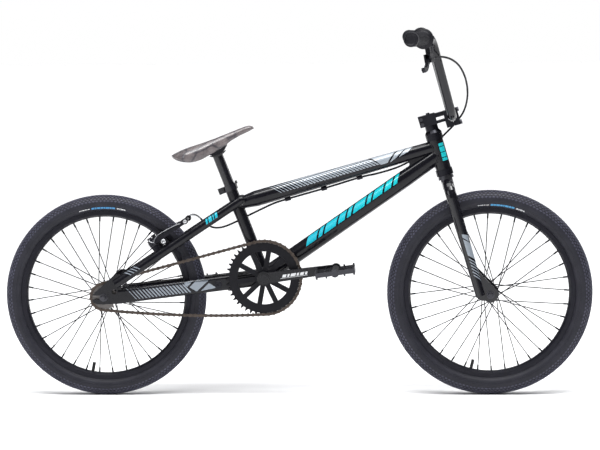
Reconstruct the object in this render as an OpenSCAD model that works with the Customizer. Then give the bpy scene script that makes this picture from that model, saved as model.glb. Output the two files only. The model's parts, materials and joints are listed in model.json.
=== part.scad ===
// BMX race bike with 20 inch wheels.
// Millimetres. X points forward, Y to the rider's left, Z up.
// The origin is on the ground, half way along the bike, in its middle plane.

/* [Wheels] */
// Distance between the front and the rear axle
wheelbase = 930; // [925:1:940]
// Outer radius of the front tyre
front_tyre_r = 248; // [246:1:250]
// Outer radius of the rear tyre
rear_tyre_r = 244; // [243:1:246]
// Spokes in each wheel
spoke_count = 36; // [36:4:36]

/* [Frame] */
// Height of the bottom bracket above the ground
bb_height = 289; // [287:1:291]
// Angle of the seat tube from the ground
seat_angle = 69; // [68.5:0.5:69.5]
// Angle of the head tube from the ground
head_angle = 74; // [73.5:0.5:74.5]
// Length of the seat tube above the bottom bracket
seat_tube_len = 238; // [234:1:242]
// Outer diameter of the down tube
down_tube_d = 41; // [40:0.5:42]
// Outer diameter of the seat post
seat_post_d = 25.4; // [25.4]

/* [Fork and bars] */
// Distance from the crown race seat to the front axle, along the steerer
fork_length = 294; // [293:1:296]
// Distance of the front axle ahead of the steering axis
fork_offset = 24; // [23:1:26]
// Reach of the stem
stem_reach = 54; // [53:1:55]
// Overall width of the handlebar
bar_width = 730; // [726:1:734]
// Height of the grips above the ground
grip_height = 862; // [858:1:866]

/* [Drive] */
// Length of a crank
crank_len = 175; // [170:1:175]
// Angle of the right crank above the horizontal
crank_angle = 7.7; // [6:0.1:9]
// Teeth on the chainring
ring_teeth = 44; // [44]
// Teeth on the rear cog
cog_teeth = 16; // [16]

/* [Hidden] */

$fn = 48;
eps = 0.5;
run_gap = 0.05;

// Colours
frame_black = [0.05, 0.05, 0.06];
part_black = [0.09, 0.09, 0.10];
rubber_black = [0.12, 0.12, 0.13];
silver = [0.72, 0.73, 0.75];
chain_brown = [0.30, 0.22, 0.17];
smoke = [0.45, 0.43, 0.44];

// Wheel places
rear_x = -(wheelbase + front_tyre_r - rear_tyre_r) / 2;
front_x = wheelbase + rear_x;
rear_at = [rear_x, 0, rear_tyre_r];
front_at = [front_x, 0, front_tyre_r];
axle_r = 4.76;
front_old = 50;
rear_old = 55;

// Rim and tyre section, the same on both wheels
rim_in_r = 191;
rim_out_r = 206;
rim_half = 13.5;
rim_wall = 1.6;
bead_r = 203;

// Bottom bracket and the frame's centre lines
bb_x = rear_x + 386.8;
bb_at = [bb_x, 0, bb_height];
head_x = front_x - fork_offset * sin(head_angle) - fork_length * cos(head_angle);
head_z = front_tyre_r - fork_offset * cos(head_angle) + fork_length * sin(head_angle);
head_at = [head_x, 0, head_z];
head_up = [-cos(head_angle), 0, sin(head_angle)];
head_fwd = [sin(head_angle), 0, cos(head_angle)];
seat_up = [-cos(seat_angle), 0, sin(seat_angle)];

// Distances along the steering axis above the crown race seat
head_lo = 24;
head_hi = 97;
cover_lo = 110.4;
spacer_lo = 121;
stem_lo = 134;
stem_hi = 160.5;
bar_s = 138.5;
bar_u = stem_reach;
steerer_r = 14.3;
head_tube_r = 18.5;
head_bore_r = 17;
cup_r = 20.5;

stub_r = 4.5;

// Frame tube sizes
bb_shell_r = 20.5;
bb_bore_r = 17.2;
bb_half = 34;
seat_tube_r = 14.5;
seat_bore_r = seat_post_d / 2 + run_gap;
top_r_seat = 19.2;
top_cone = 48;
top_r_head = 15.5;
down_r = down_tube_d / 2;
down_r_head = 18;
down_cone = 100;
wall = 2;
stay_r = 11;
top_from = bb_at + 187.5 * seat_up;
top_to = head_at + 81 * head_up;
down_to = head_at + 60 * head_up;

// Seat stays run straight beside the wheel, from the seat tube to the dropouts
stay_y_top = 20;
stay_y_low = 66;
stay_top = [bb_x - 55.8, 0, bb_height + 185.5];
stay_low = [bb_x - 358.5, 0, bb_height - 13];
stay_slope = atan2(stay_top.z - stay_low.z, stay_top.x - stay_low.x);

// Chain stays
cs_y_front = 24;
cs_y_rear = 57;
cs_front = [bb_x - 12, 0, bb_height - 4];
cs_rear = [rear_x + 36, 0, rear_tyre_r + 2];
cs_tall = 35;
cs_thick = 13;
plate_t = 6;

// Chain line and drive train
pitch = 12.7;
chain_y = -44;
ring_r = pitch / (2 * sin(180 / ring_teeth));
cog_r = pitch / (2 * sin(180 / cog_teeth));
roller_r = 3.85;
pin_r = 1.8;
plate_r = 4.1;
tooth_t = 2.9;
arm_in = 49;
arm_out = 64;
spindle_r = 9.5;
pedal_end = 168;
pedal_axle_r = 5;

// Handlebar corners on the right side
bar_r = 11.1;
bar_at = head_at + bar_u * head_fwd + bar_s * head_up;
sweep = 13;
grip_end_x = 271.5;
half_bar = bar_width / 2;
grip_x0 = grip_end_x + (half_bar - 150) * tan(sweep);
bar_low = [bar_at.x, -58, bar_at.z];
bar_top = [grip_x0, -150, grip_height];
bar_end = [grip_end_x + 0.7, -half_bar + 3, grip_height];
bar_past = 2 * unit(bar_end - bar_top);
bend_steps = 7;
grip_len = 136;
lever_y = 205;
lever_tilt = 10;

// Rim brake: the arms turn on posts that stand square off the seat stays
post_t = 128;
post_h = 43;
post_r = 4;
post_y = 44;
arm_n = 33;
arm_len = 96;
pad_t = 27;
pad_n = 22;
pad_in = 15.8;
pad_turn = 99.5;

// Saddle pivot: the base rocks in a round cradle on the seat post
tilt_at = [bb_x - 121.5, 0, bb_height + 324.5];
cradle_r = 31;
post_low = 120;

// Brake cable, outer diameter and the hand-laid route of its three stretches
cable_r = 2.4;
lever_route = [[322, -170, 815], [336, -159, 819], [353, -149, 818],
    [371, -131, 811], [388, -106, 796], [401, -76, 772], [408, -45, 745],
    [409, -14, 718], [405, 12, 695], [397, 31, 676], [385, 37, 660],
    [372, 36, 645]];
cross_route = [[371.4, 35.9, 644.4], [358, 33, 631], [343, 30, 617],
    [325, 28, 601], [300, 26, 583], [272, 21, 565], [242, 13, 551],
    [213, 6, 542], [186.8, 3.1, 535.2]];
frame_route = [[186, 3, 535], [150, 3, 527], [64, 3, 501], [-24, 3, 476],
    [-58, 5, 465], [-92, 12, 449], [-118, 19, 436], [-150, 20, 420],
    [-180, 14, 408], [-200, 9, 406], [-214, 8, 410], [-226, 11, 418],
    [-236, 20, 426]];
stay_dir = [cos(stay_slope), 0, sin(stay_slope)];
stay_out = [-sin(stay_slope), 0, cos(stay_slope)];
eye_at = stay_low + (post_t + arm_len) * stay_dir + arm_n * stay_out;
noodle_route = [[-236.4, 20.7, 426.5], [-245, 35, 432], [-255, 50, 434.5], [-265, 60, 432],
    eye_at + [0, 57, 1.5], eye_at + [0, 46, 0], eye_at + [0, 36, 0]];

// ---- helpers ----

function unit(v) = v / norm(v);

function flip(p) = [p.x, -p.y, p.z];

// Puts children on the line from a towards b, with +Z along it
module along(a, b) {
    v = b - a;
    translate(a)
        rotate([0, acos(v.z / norm(v)), atan2(v.y, v.x)])
            children();
}

module rod(a, b, r) {
    along(a, b)
        cylinder(h = norm(b - a), r = r);
}

// Points round one bend of a pipe at corner p, between the points a and b
function bend_pts(a, p, b, bend) = let (
        d1 = unit(p - a),
        d2 = unit(b - p),
        turn = acos(d1 * d2),
        e = cross(d1, unit(cross(d1, d2))),
        c = p - d1 * bend * tan(turn / 2) - e * bend)
    [for (k = [0 : bend_steps]) c + bend
        * (cos(turn * k / bend_steps) * e + sin(turn * k / bend_steps) * d1)];

// The line of a pipe through pts, with each corner bent to the radius bend
function pipe_line(pts, bend) = concat([pts[0]],
    [for (i = [1 : len(pts) - 2]) for (q = bend_pts(pts[i - 1], pts[i], pts[i + 1], bend)) q],
    [pts[len(pts) - 1]]);

// Smooth curve through the route points
function curve_at(p, i, t) = let (
        a = p[max(i - 1, 0)],
        b = p[i],
        c = p[i + 1],
        d = p[min(i + 2, len(p) - 1)])
    0.5 * (2 * b + (c - a) * t + (2 * a - 5 * b + 4 * c - d) * t * t
        + (3 * b - a - 3 * c + d) * t * t * t);

function smooth(p, steps) = concat(
    [for (i = [0 : len(p) - 2]) for (k = [0 : steps - 1]) curve_at(p, i, k / steps)],
    [p[len(p) - 1]]);

function headings(c) = [for (i = [0 : len(c) - 1])
    unit(c[min(i + 1, len(c) - 1)] - c[max(i - 1, 0)])];

function normals(h, i = 0, out = []) = i == len(h) ? out
    : normals(h, i + 1, concat(out, [i == 0 ? unit(cross(h[0], [0, 0.1, 1]))
        : unit(out[i - 1] - h[i] * (out[i - 1] * h[i]))]));

// A round bar swept along the line c, with its radius at each point in the list r
module skin(c, r, sides) {
    h = headings(c);
    n = normals(h);
    last = len(c) - 1;
    points = [for (i = [0 : last]) for (k = [0 : sides - 1])
        c[i] + r[i] * (cos(k * 360 / sides) * n[i] + sin(k * 360 / sides) * cross(h[i], n[i]))];
    walls = [for (i = [0 : last - 1]) for (k = [0 : sides - 1]) let (j = (k + 1) % sides)
        [i * sides + k, (i + 1) * sides + k, (i + 1) * sides + j, i * sides + j]];
    caps = [[for (k = [0 : sides - 1]) k], [for (k = [sides - 1 : -1 : 0]) last * sides + k]];
    polyhedron(points, concat(walls, caps));
}

module cable(route, r) {
    c = smooth(route, 2);
    skin(c, [for (p = c) r], 8);
}

// Places children in the frame of the steering axis: X forward, Z up the steerer
module at_head() {
    translate(head_at)
        rotate([0, head_angle - 90, 0])
            children();
}

module at_seat() {
    translate(bb_at)
        rotate([0, seat_angle - 90, 0])
            children();
}

// Frame of the seat stays: X up the stay, Z square off it, to the rear and up
module at_stay() {
    translate(stay_low)
        rotate([0, -stay_slope, 0])
            children();
}

module at_crank() {
    translate(bb_at)
        rotate([0, -crank_angle, 0])
            children();
}

// A flat shape drawn in the XZ plane and given thickness along Y, from y0 to y1
module slab(y0, y1) {
    translate([0, y1, 0])
        rotate([90, 0, 0])
            linear_extrude(y1 - y0)
                children();
}

// A cylinder along Y from y0 to y1
module barrel(r, y0, y1) {
    translate([0, y1, 0])
        rotate([90, 0, 0])
            cylinder(h = y1 - y0, r = r);
}

module ring_y(r_out, r_in, y0, y1) {
    difference() {
        barrel(r_out, y0, y1);
        barrel(r_in, y0 - eps, y1 + eps);
    }
}

// A turned part about the Y axis, from a flat profile of radius and Y
module turned_y() {
    rotate([-90, 0, 0])
        rotate_extrude()
            children();
}

// ---- frame ----

module seat_tube_solid(r, from = 0, to = seat_tube_len) {
    at_seat()
        translate([0, 0, from])
            cylinder(h = to - from, r = r);
}

module head_tube_solid(r, extra = 0) {
    at_head()
        translate([0, 0, head_lo - extra])
            cylinder(h = head_hi - head_lo + 2 * extra, r = r);
}

module bb_solid(r, extra = 0) {
    translate(bb_at)
        barrel(r, -bb_half - extra, bb_half + extra);
}

module top_tube_solid(cut = 0) {
    along(top_from, top_to) {
        cylinder(h = top_cone, r1 = seat_tube_r - 1.5 - cut, r2 = top_r_seat - cut);
        translate([0, 0, top_cone])
            cylinder(h = norm(top_to - top_from) - top_cone, r1 = top_r_seat - cut,
                r2 = top_r_head - cut);
    }
}

module down_tube_solid(cut = 0) {
    long = norm(down_to - bb_at) - down_cone;
    along(bb_at, down_to) {
        cylinder(h = long, r = down_r - cut);
        translate([0, 0, long])
            cylinder(h = down_cone, r1 = down_r - cut, r2 = down_r_head - cut);
    }
}

module head_tube() {
    color(frame_black)
        difference() {
            head_tube_solid(head_tube_r);
            head_tube_solid(head_bore_r, eps);
        }
}

module top_tube() {
    color(frame_black)
        difference() {
            top_tube_solid();
            top_tube_solid(wall);
            seat_tube_solid(seat_tube_r);
            head_tube_solid(head_tube_r);
        }
}

module down_tube() {
    color(frame_black)
        difference() {
            down_tube_solid();
            down_tube_solid(wall);
            bb_solid(bb_shell_r, 10);
            head_tube_solid(head_tube_r, 5);
            top_tube_solid();
            seat_tube_solid(seat_tube_r);
        }
}

module seat_tube() {
    color(frame_black)
        difference() {
            seat_tube_solid(seat_tube_r);
            seat_tube_solid(seat_bore_r, -1, seat_tube_len + 1);
            bb_solid(bb_shell_r);
        }
}

module bb_shell() {
    color(frame_black)
        difference() {
            bb_solid(bb_shell_r);
            bb_solid(bb_bore_r, eps);
        }
}

// Tall oval chain stay; side is -1 for the right and 1 for the left
module chainstay(side) {
    a = cs_front + [0, side * cs_y_front, 0];
    b = cs_rear + [0, side * cs_y_rear, 0];
    run = norm([b.x - a.x, b.y - a.y]);
    color(frame_black)
        difference() {
            translate(a)
                rotate([0, 0, atan2(b.y - a.y, b.x - a.x)])
                    rotate([0, 90 - atan2(b.z - a.z, run), 0])
                        difference() {
                            linear_extrude(norm(b - a))
                                stadium(cs_tall, cs_thick);
                            translate([0, 0, -1])
                                linear_extrude(norm(b - a) - 28)
                                    stadium(cs_tall - 2 * wall, cs_thick - 2 * wall);
                        }
            bb_solid(bb_shell_r, 20);
            translate([rear_x, side < 0 ? -rear_old - plate_t : rear_old, rear_tyre_r - 40])
                cube([60, plate_t, 80]);
            translate([bb_x - 112, 0, bb_height - 17])
                barrel(12, -60, 60);
        }
}

// A flat round-ended bar: long along X, thick along Y
module stadium(long, thick) {
    square([long - thick, thick], center = true);
    for (s = [-1, 1])
        translate([s * (long - thick) / 2, 0])
            circle(thick / 2);
}

module chainstay_right() {
    chainstay(-1);
}

module chainstay_left() {
    chainstay(1);
}

module stay_solid(side) {
    rod(stay_top + [0, side * stay_y_top, 0], stay_low + [0, side * stay_y_low, 0], stay_r);
}

module seatstay(side) {
    low = stay_low + [0, side * stay_y_low, 0];
    top = stay_top + [0, side * stay_y_top, 0];
    run = unit(top - low);
    color(frame_black)
        difference() {
            union() {
                stay_solid(side);
                translate(top)
                    sphere(stay_r);
            }
            rod(low + 54 * run, top - 14 * run, stay_r - wall);
            translate(low + 64 * run)
                barrel(1.6, side < 0 ? 0 : -20, side < 0 ? 20 : 0);
            seat_tube_solid(seat_tube_r, 0, seat_tube_len);
            top_tube_solid();
            translate([0, side * rear_old, 0])
                translate(stay_low)
                    translate([-24, side < 0 ? 0 - plate_t : 0, -44])
                        cube([64, plate_t, 88]);
        }
}

module seatstay_right() {
    seatstay(-1);
}

module seatstay_left() {
    seatstay(1);
}

// Side view of a rear dropout, about the axle, with its slot open to the rear
module dropout_shape() {
    difference() {
        union() {
            circle(17);
            polygon([[-27, 6.5], [-27, -11], [-15, -16.5], [44, -15], [44, 16], [40, 56], [28, 56]]);
        }
        circle(axle_r + 0.2);
        translate([-40, -axle_r - 0.2])
            square([40, 2 * axle_r + 0.4]);
        translate([26, 14])
            circle(6);
    }
}

module rear_dropouts() {
    color(frame_black)
        for (side = [-1, 1])
            translate(rear_at)
                slab(side < 0 ? -rear_old - plate_t : rear_old, side < 0 ? -rear_old : rear_old + plate_t)
                    dropout_shape();
}

// Bridge tube behind the bottom bracket, brake bridge between the seat stays,
// and the web that ties the top and down tubes behind the head tube
module frame_gussets() {
    color(frame_black) {
        translate([bb_x - 112, 0, bb_height - 17])
            ring_y(12, 3, -39, 39);
        difference() {
            at_stay()
                translate([236, 0, 0])
                    barrel(8, -36, 36);
            for (side = [-1, 1])
                stay_solid(side);
        }
        difference() {
            slab(-8, 8)
                polygon([[bb_x + 346, bb_height + 250], [bb_x + 346, bb_height + 300],
                    [bb_x + 400, bb_height + 300], [bb_x + 400, bb_height + 250]]);
            translate([bb_x + 341, 0, bb_height + 270])
                barrel(9, -20, 20);
            top_tube_solid();
            down_tube_solid();
            head_tube_solid(head_tube_r, 5);
            below_down_tube();
        }
    }
}

// Everything on the lower side of the down tube's axis and above the top tube's
module below_down_tube() {
    along(bb_at, down_to)
        translate([0, -40, 200])
            cube([80, 80, 400]);
    along(top_from, top_to)
        translate([-80, -40, 300])
            cube([80, 80, 300]);
}

// Brake posts on the seat stays and cable guides under the top tube
module frame_fittings() {
    color(part_black) {
        for (side = [-1, 1])
            difference() {
                at_stay()
                    translate([post_t, side * post_y, 0]) {
                        cylinder(h = 20, r = 7.5);
                        cylinder(h = post_h, r = post_r);
                    }
                stay_solid(side);
            }
        for (p = [frame_route[1], frame_route[2], frame_route[3]])
            difference() {
                along(p, p + [10, 0, 2.8])
                    translate([0, 0, -7])
                        cylinder(h = 14, r = 5);
                cable(frame_route, cable_r);
                top_tube_solid();
            }
    }
}

// Split collar at the top of the seat tube, with its bolt at the rear
module seat_clamp() {
    color(part_black)
        at_seat()
            translate([0, 0, seat_tube_len - 15]) {
                difference() {
                    union() {
                        cylinder(h = 15, r = seat_tube_r + 3);
                        translate([-30, -8, 0])
                            cube([16, 16, 15]);
                        translate([seat_tube_r + 1, -4, 11])
                            cube([5, 8, 8]);
                    }
                    translate([0, 0, -eps])
                        cylinder(h = 20, r = seat_tube_r);
                    translate([-40, -1, -eps])
                        cube([30, 2, 20]);
                    translate([-23, 0, 7.5])
                        barrel(2.6, -20, 20);
                }
                translate([-23, 0, 7.5]) {
                    barrel(2.5, -8, 8);
                    barrel(4.2, -11, -8);
                    barrel(4.2, 8, 10);
                }
            }
}

// Headset cups pressed in the head tube and the two bottom bracket cups
module bearing_cups() {
    color(part_black) {
        at_head() {
            difference() {
                union() {
                    translate([0, 0, 9])
                        cylinder(h = head_lo - 9, r = cup_r);
                    translate([0, 0, head_lo])
                        cylinder(h = 12, r = head_bore_r);
                }
                translate([0, 0, 8])
                    cylinder(h = 40, r = 15.2);
                translate([0, 0, 8])
                    cylinder(h = 8.2, r = 18);
            }
            difference() {
                union() {
                    translate([0, 0, head_hi])
                        cylinder(h = 13, r = cup_r);
                    translate([0, 0, head_hi - 12])
                        cylinder(h = 12, r = head_bore_r);
                }
                translate([0, 0, head_hi - 20])
                    cylinder(h = 40, r = 15.2);
                translate([0, 0, 103])
                    cylinder(h = 8, r = 18);
            }
        }
        for (side = [-1, 1])
            translate(bb_at)
                scale([1, side, 1])
                    difference() {
                        union() {
                            barrel(bb_bore_r, 22, bb_half);
                            barrel(21, bb_half, bb_half + 4);
                        }
                        barrel(10.5, 20, 60);
                        barrel(15, 21, 33);
                    }
    }
}

module frame_bearings() {
    color(silver) {
        at_head()
            for (z = [9.6, 103])
                translate([0, 0, z])
                    difference() {
                        cylinder(h = 6.6, r = 18);
                        translate([0, 0, -eps])
                            cylinder(h = 10, r = steerer_r + run_gap);
                    }
        for (side = [-1, 1])
            translate(bb_at)
                ring_y(15, spindle_r + run_gap, side < 0 ? -33 : 24, side < 0 ? -24 : 33);
    }
}

// ---- axles ----

module hex_nut(y0, y1) {
    difference() {
        slab(y0, y1)
            circle(8.7, $fn = 6);
        barrel(axle_r, y0 - eps, y1 + eps);
    }
}

// Axle with a washer and a nut on each side, and an end turned down to take a
// peg; old is half the dropout spacing
module axle_set(old, plate) {
    half = old + plate + 13;
    barrel(stub_r, -half, half);
    barrel(axle_r, -old - plate - 6.6, old + plate + 6.6);
    for (side = [-1, 1])
        scale([1, side, 1]) {
            ring_y(10, axle_r, old + plate, old + plate + 1.4);
            hex_nut(old + plate + 1.4, old + plate + 1.4 + 5.2);
            ring_y(8.5, axle_r, old - 6, old);
        }
}

module rear_axle() {
    color(part_black)
        translate(rear_at)
            axle_set(rear_old, plate_t);
}

module front_axle() {
    color(part_black)
        translate(front_at)
            axle_set(front_old, 5);
}

// ---- chain ----

// Angles of the chain's two straight runs, and their length
gap_v = [rear_x - bb_x, rear_tyre_r - bb_height];
gap_len = norm(gap_v);
lean = acos((ring_r - cog_r) / gap_len);
top_angle = atan2(gap_v[1], gap_v[0]) + 360 - lean;
low_angle = atan2(gap_v[1], gap_v[0]) + 360 + lean;
run_len = sqrt(gap_len * gap_len - (ring_r - cog_r) * (ring_r - cog_r));
top_count = floor(run_len / pitch);
ring_step = 360 / ring_teeth;
cog_step = 360 / cog_teeth;

function polar(c, r, a) = [c.x + r * cos(a), c.z + r * sin(a)];

// Angle past the tangent point where the next roller seats on the cog
left_over = run_len - top_count * pitch;
function seat_gap(a) = norm([left_over + cog_r * sin(a), cog_r * (1 - cos(a))]) - pitch;
function seat_on(lo, hi, n) = n == 0 ? (lo + hi) / 2
    : seat_gap((lo + hi) / 2) > 0 ? seat_on(lo, (lo + hi) / 2, n - 1)
    : seat_on((lo + hi) / 2, hi, n - 1);
cog_first = seat_on(0, 30, 30);
cog_count = floor((low_angle - top_angle - cog_first) / cog_step) + 1;
ring_count = floor((360 - (low_angle - top_angle)) / ring_step) + 1;

ring_pts = [for (k = [ring_count - 1 : -1 : 0]) polar(bb_at, ring_r, top_angle - k * ring_step)];
run_dir = [cos(top_angle + 90), sin(top_angle + 90)];
top_pts = [for (k = [1 : top_count]) ring_pts[ring_count - 1] + run_dir * pitch * k];
cog_pts = [for (k = [0 : cog_count - 1])
    polar(rear_at, cog_r, top_angle + cog_first + k * cog_step)];

// The lower run is a shallow arc of whole links between the two sprockets
low_a = cog_pts[cog_count - 1];
low_b = ring_pts[0];
low_gap = norm(low_b - low_a);
low_count = ceil(low_gap / pitch);
function arc_gap(b) = sin(low_count * b / 2) / sin(b / 2) - low_gap / pitch;
function arc_step(lo, hi, n) = n == 0 ? (lo + hi) / 2
    : arc_gap((lo + hi) / 2) > 0 ? arc_step((lo + hi) / 2, hi, n - 1)
    : arc_step(lo, (lo + hi) / 2, n - 1);
low_bend = arc_step(0.0001, 4, 40);
low_head = atan2(low_b[1] - low_a[1], low_b[0] - low_a[0]) - (low_count - 1) * low_bend / 2;
function walk(p, a, n, out = []) = n == 0 ? out
    : let (q = p + pitch * [cos(a), sin(a)]) walk(q, a + low_bend, n - 1, concat(out, [q]));
low_pts = walk(low_a, low_head, low_count - 1);
chain_pts = concat(ring_pts, top_pts, cog_pts, low_pts);
chain_count = len(chain_pts);

// Side view of a link plate, its pins at 0 and at one pitch along X
module link_shape(hole) {
    difference() {
        union() {
            for (x = [0, pitch])
                translate([x, 0])
                    circle(plate_r);
            translate([0, -2.9])
                square([pitch, 5.8]);
        }
        if (hole > 0)
            for (x = [0, pitch])
                translate([x, 0])
                    circle(hole);
    }
}

module outer_link() {
    for (s = [-1, 1])
        slab(s < 0 ? -3.6 : 2.75, s < 0 ? -2.75 : 3.6)
            link_shape(0);
    for (x = [0, pitch])
        translate([x, 0, 0])
            barrel(pin_r, -4, 4);
}

module inner_link() {
    for (s = [-1, 1])
        slab(s < 0 ? -2.65 : 1.7, s < 0 ? -1.7 : 2.65)
            link_shape(pin_r + run_gap);
    for (x = [0, pitch])
        translate([x, 0, 0])
            ring_y(roller_r, pin_r + run_gap, -1.7, 1.7);
}

module chain() {
    color(chain_brown)
        for (i = [0 : chain_count - 1]) {
            a = chain_pts[i];
            b = chain_pts[(i + 1) % chain_count];
            translate([a[0], chain_y, a[1]])
                rotate([0, -atan2(b[1] - a[1], b[0] - a[0]), 0])
                    if (i % 2 == 0) outer_link();
                    else inner_link();
        }
}

// ---- cable ----

module cable_frame() {
    color(rubber_black)
        cable(frame_route, cable_r);
}

module cable_cross() {
    color(rubber_black)
        cable(cross_route, cable_r);
}

module cable_lever() {
    color(rubber_black)
        cable(lever_route, cable_r);
}

// ---- fork ----

module fork_steerer() {
    color(part_black)
        at_head()
            difference() {
                union() {
                    translate([0, 0, -24])
                        cylinder(h = 156 + 24, r = steerer_r);
                    cylinder(h = 8.6, r1 = 19, r2 = 17.6);
                }
                translate([0, 0, -26])
                    cylinder(h = 200, r = 11.3);
            }
}

// Two tapered legs that bend inward to meet the steerer
module fork_legs() {
    color(frame_black)
        at_head()
            difference() {
                for (side = [-1, 1]) {
                    line = pipe_line([[0, side * 6, -13], [0, side * 46, -13],
                        [0, side * 55, -290]], 33);
                    skin(line, [for (i = [1 : len(line)]) i == len(line) ? 11.5 : 13.5], 24);
                }
                for (side = [-1, 1]) {
                    line = pipe_line([[0, side * 6, -13], [0, side * 46, -13],
                        [0, side * 52.5, -213]], 33);
                    skin(line, [for (i = [1 : len(line)]) i == len(line) ? 10 : 11.5], 24);
                }
                translate([0, 0, -60])
                    cylinder(h = 100, r = steerer_r);
                for (side = [-1, 1])
                    translate([-40, side < 0 ? -front_old - 5 : front_old, -fork_length - 30])
                        cube([100, 5, 110]);
            }
}

// Side view of a fork dropout, about the axle in the steering frame
module fork_plate_shape() {
    difference() {
        union() {
            circle(19);
            polygon([[-34, 4], [-33, 68], [-24, 75], [-18, 73], [16.5, 9], [4, -18.5], [-28, -6]]);
        }
        circle(axle_r + 0.14);
    }
}

module fork_dropouts() {
    color(frame_black)
        at_head()
            translate([fork_offset, 0, -fork_length])
                for (side = [-1, 1])
                    slab(side < 0 ? -front_old - 5 : front_old, side < 0 ? -front_old : front_old + 5)
                        fork_plate_shape();
}

// Headset cover, the spacer under the stem and the cap on top of it
module headset_spacers() {
    color(part_black)
        at_head() {
            difference() {
                union() {
                    translate([0, 0, cover_lo])
                        cylinder(h = 4, r = 20.5);
                    translate([0, 0, cover_lo + 4])
                        cylinder(h = spacer_lo - cover_lo - 4, r1 = 20.5, r2 = 16);
                }
                cylinder(h = 200, r = steerer_r);
            }
            difference() {
                translate([0, 0, spacer_lo])
                    cylinder(h = stem_lo - spacer_lo, r = 15.5);
                cylinder(h = 200, r = steerer_r);
            }
            difference() {
                translate([0, 0, 157.2])
                    cylinder(h = 3.2, r = 16);
                translate([0, 0, 150])
                    cylinder(h = 20, r = 3.1);
            }
        }
}

// ---- stem ----

module stem_blank() {
    translate([-25.6, -19, stem_lo])
        cube([42, 38, stem_hi - stem_lo]);
    translate([10, -16, 148.5])
        cube([40, 32, 10]);
    translate([10, -16, stem_lo])
        cube([40, 32, 6]);
    translate([bar_u - 18, -25, bar_s - 21])
        cube([17.5, 50, 40.5]);
}

module stem_body() {
    color(part_black)
        at_head()
            difference() {
                stem_blank();
                translate([0, 0, 100])
                    cylinder(h = 100, r = steerer_r);
                translate([0, 0, 157])
                    cylinder(h = 10, r = 16.3);
                translate([bar_u, 0, bar_s])
                    barrel(bar_r, -40, 40);
                translate([-40, -1, 100])
                    cube([30, 2, 100]);
                for (z = [140.5, 153.5])
                    translate([-19.5, 0, z])
                        barrel(3, -40, 40);
                for (y = [-17, 17])
                    for (z = [bar_s - 16.5, bar_s + 15])
                        translate([30, y, z])
                            rotate([0, 90, 0])
                                cylinder(h = 40, r = 3);
            }
}

module stem_faceplate() {
    color(part_black)
        at_head()
            difference() {
                translate([bar_u + 1, -25, bar_s - 21])
                    cube([15.5, 50, 40.5]);
                translate([bar_u, 0, bar_s])
                    barrel(bar_r, -40, 40);
                translate([bar_u + 7, -10, bar_s - 9])
                    cube([20, 20, 18]);
                for (y = [-17, 17])
                    for (z = [bar_s - 16.5, bar_s + 15])
                        translate([30, y, z])
                            rotate([0, 90, 0])
                                cylinder(h = 60, r = 3);
            }
}

// Four faceplate bolts, two pinch bolts and the top cap bolt
module stem_bolts() {
    color(part_black)
        at_head() {
            for (y = [-17, 17])
                for (z = [bar_s - 16.5, bar_s + 15])
                    translate([0, y, z])
                        rotate([0, 90, 0]) {
                            translate([0, 0, bar_u - 15])
                                cylinder(h = 33, r = 2.9);
                            translate([0, 0, bar_u + 16.5])
                                cap_head();
                        }
            for (z = [140.5, 153.5])
                translate([-19.5, 0, z]) {
                    barrel(2.9, -19, 19);
                    barrel(4.4, -22, -19);
                }
            translate([0, 0, 130])
                cylinder(h = 30, r = 3);
            translate([0, 0, 160.4])
                cap_head();
        }
}

// Round bolt head with a hexagon socket, standing on z = 0
module cap_head() {
    difference() {
        cylinder(h = 4, r = 4.6);
        translate([0, 0, 1.5])
            cylinder(h = 5, r = 2.6, $fn = 6);
    }
}

// ---- handlebar ----

bar_line = pipe_line([flip(bar_end), flip(bar_top), flip(bar_low), bar_low, bar_top, bar_end],
    44);
bore_line = pipe_line([flip(bar_end + bar_past), flip(bar_top), flip(bar_low), bar_low, bar_top,
    bar_end + bar_past], 44);

module handlebar() {
    color(part_black)
        difference() {
            skin(bar_line, [for (p = bar_line) bar_r], 24);
            skin(bore_line, [for (p = bore_line) bar_r - wall], 24);
        }
}

// Frame of the right grip: Z runs outward along the bar from distance y of the middle
module at_grip(y) {
    translate([grip_end_x + (half_bar - y) * tan(sweep), -y, grip_height])
        rotate([90, 0, -sweep])
            children();
}

module grips() {
    color(rubber_black)
        for (s = [1, -1])
            scale([1, s, 1])
                at_grip(half_bar)
                    difference() {
                        union() {
                            translate([0, 0, -grip_len])
                                cylinder(h = 4, r = 24);
                            translate([0, 0, -grip_len])
                                cylinder(h = grip_len - 8, r = 16);
                            translate([0, 0, -8])
                                cylinder(h = 8, r = 17.2);
                        }
                        translate([0, 0, -grip_len - 1])
                            cylinder(h = grip_len - 2, r = bar_r);
                    }
}

// Frame of the brake lever: X forward, Y outward along the bar, Z up, tilted forward
module at_lever() {
    translate([grip_end_x + (half_bar - lever_y) * tan(sweep), -lever_y, grip_height])
        rotate([0, 0, -sweep])
            scale([1, -1, 1])
                rotate([0, -lever_tilt, 0])
                    children();
}

lever_pivot = [0, 14, -49];

module lever_body() {
    color(part_black)
        at_lever() {
            difference() {
                union() {
                    barrel(15.5, -6, 6);
                    translate([-5.5, -6, -40])
                        cube([11, 14, 28]);
                    translate([-8, -14, -56])
                        cube([16, 38, 20]);
                }
                barrel(bar_r, -30, 30);
                translate([-4.2, 2, -60])
                    cube([8.4, 40, 22.6]);
                translate([-20, 14, -49])
                    rotate([0, 90, 0])
                        cylinder(h = 40, r = 2.5);
            }
            difference() {
                translate([0, 0, -46])
                    barrel(4.6, -34, -14);
                translate([0, 0, -46])
                    barrel(1.4, -40, 0);
            }
            translate([-9, 14, -49])
                rotate([0, 90, 0])
                    cylinder(h = 18, r = 2.5);
            translate([13, 0, 0])
                rotate([0, 90, 0])
                    cylinder(h = 6, r = 3.4);
        }
}

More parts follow.
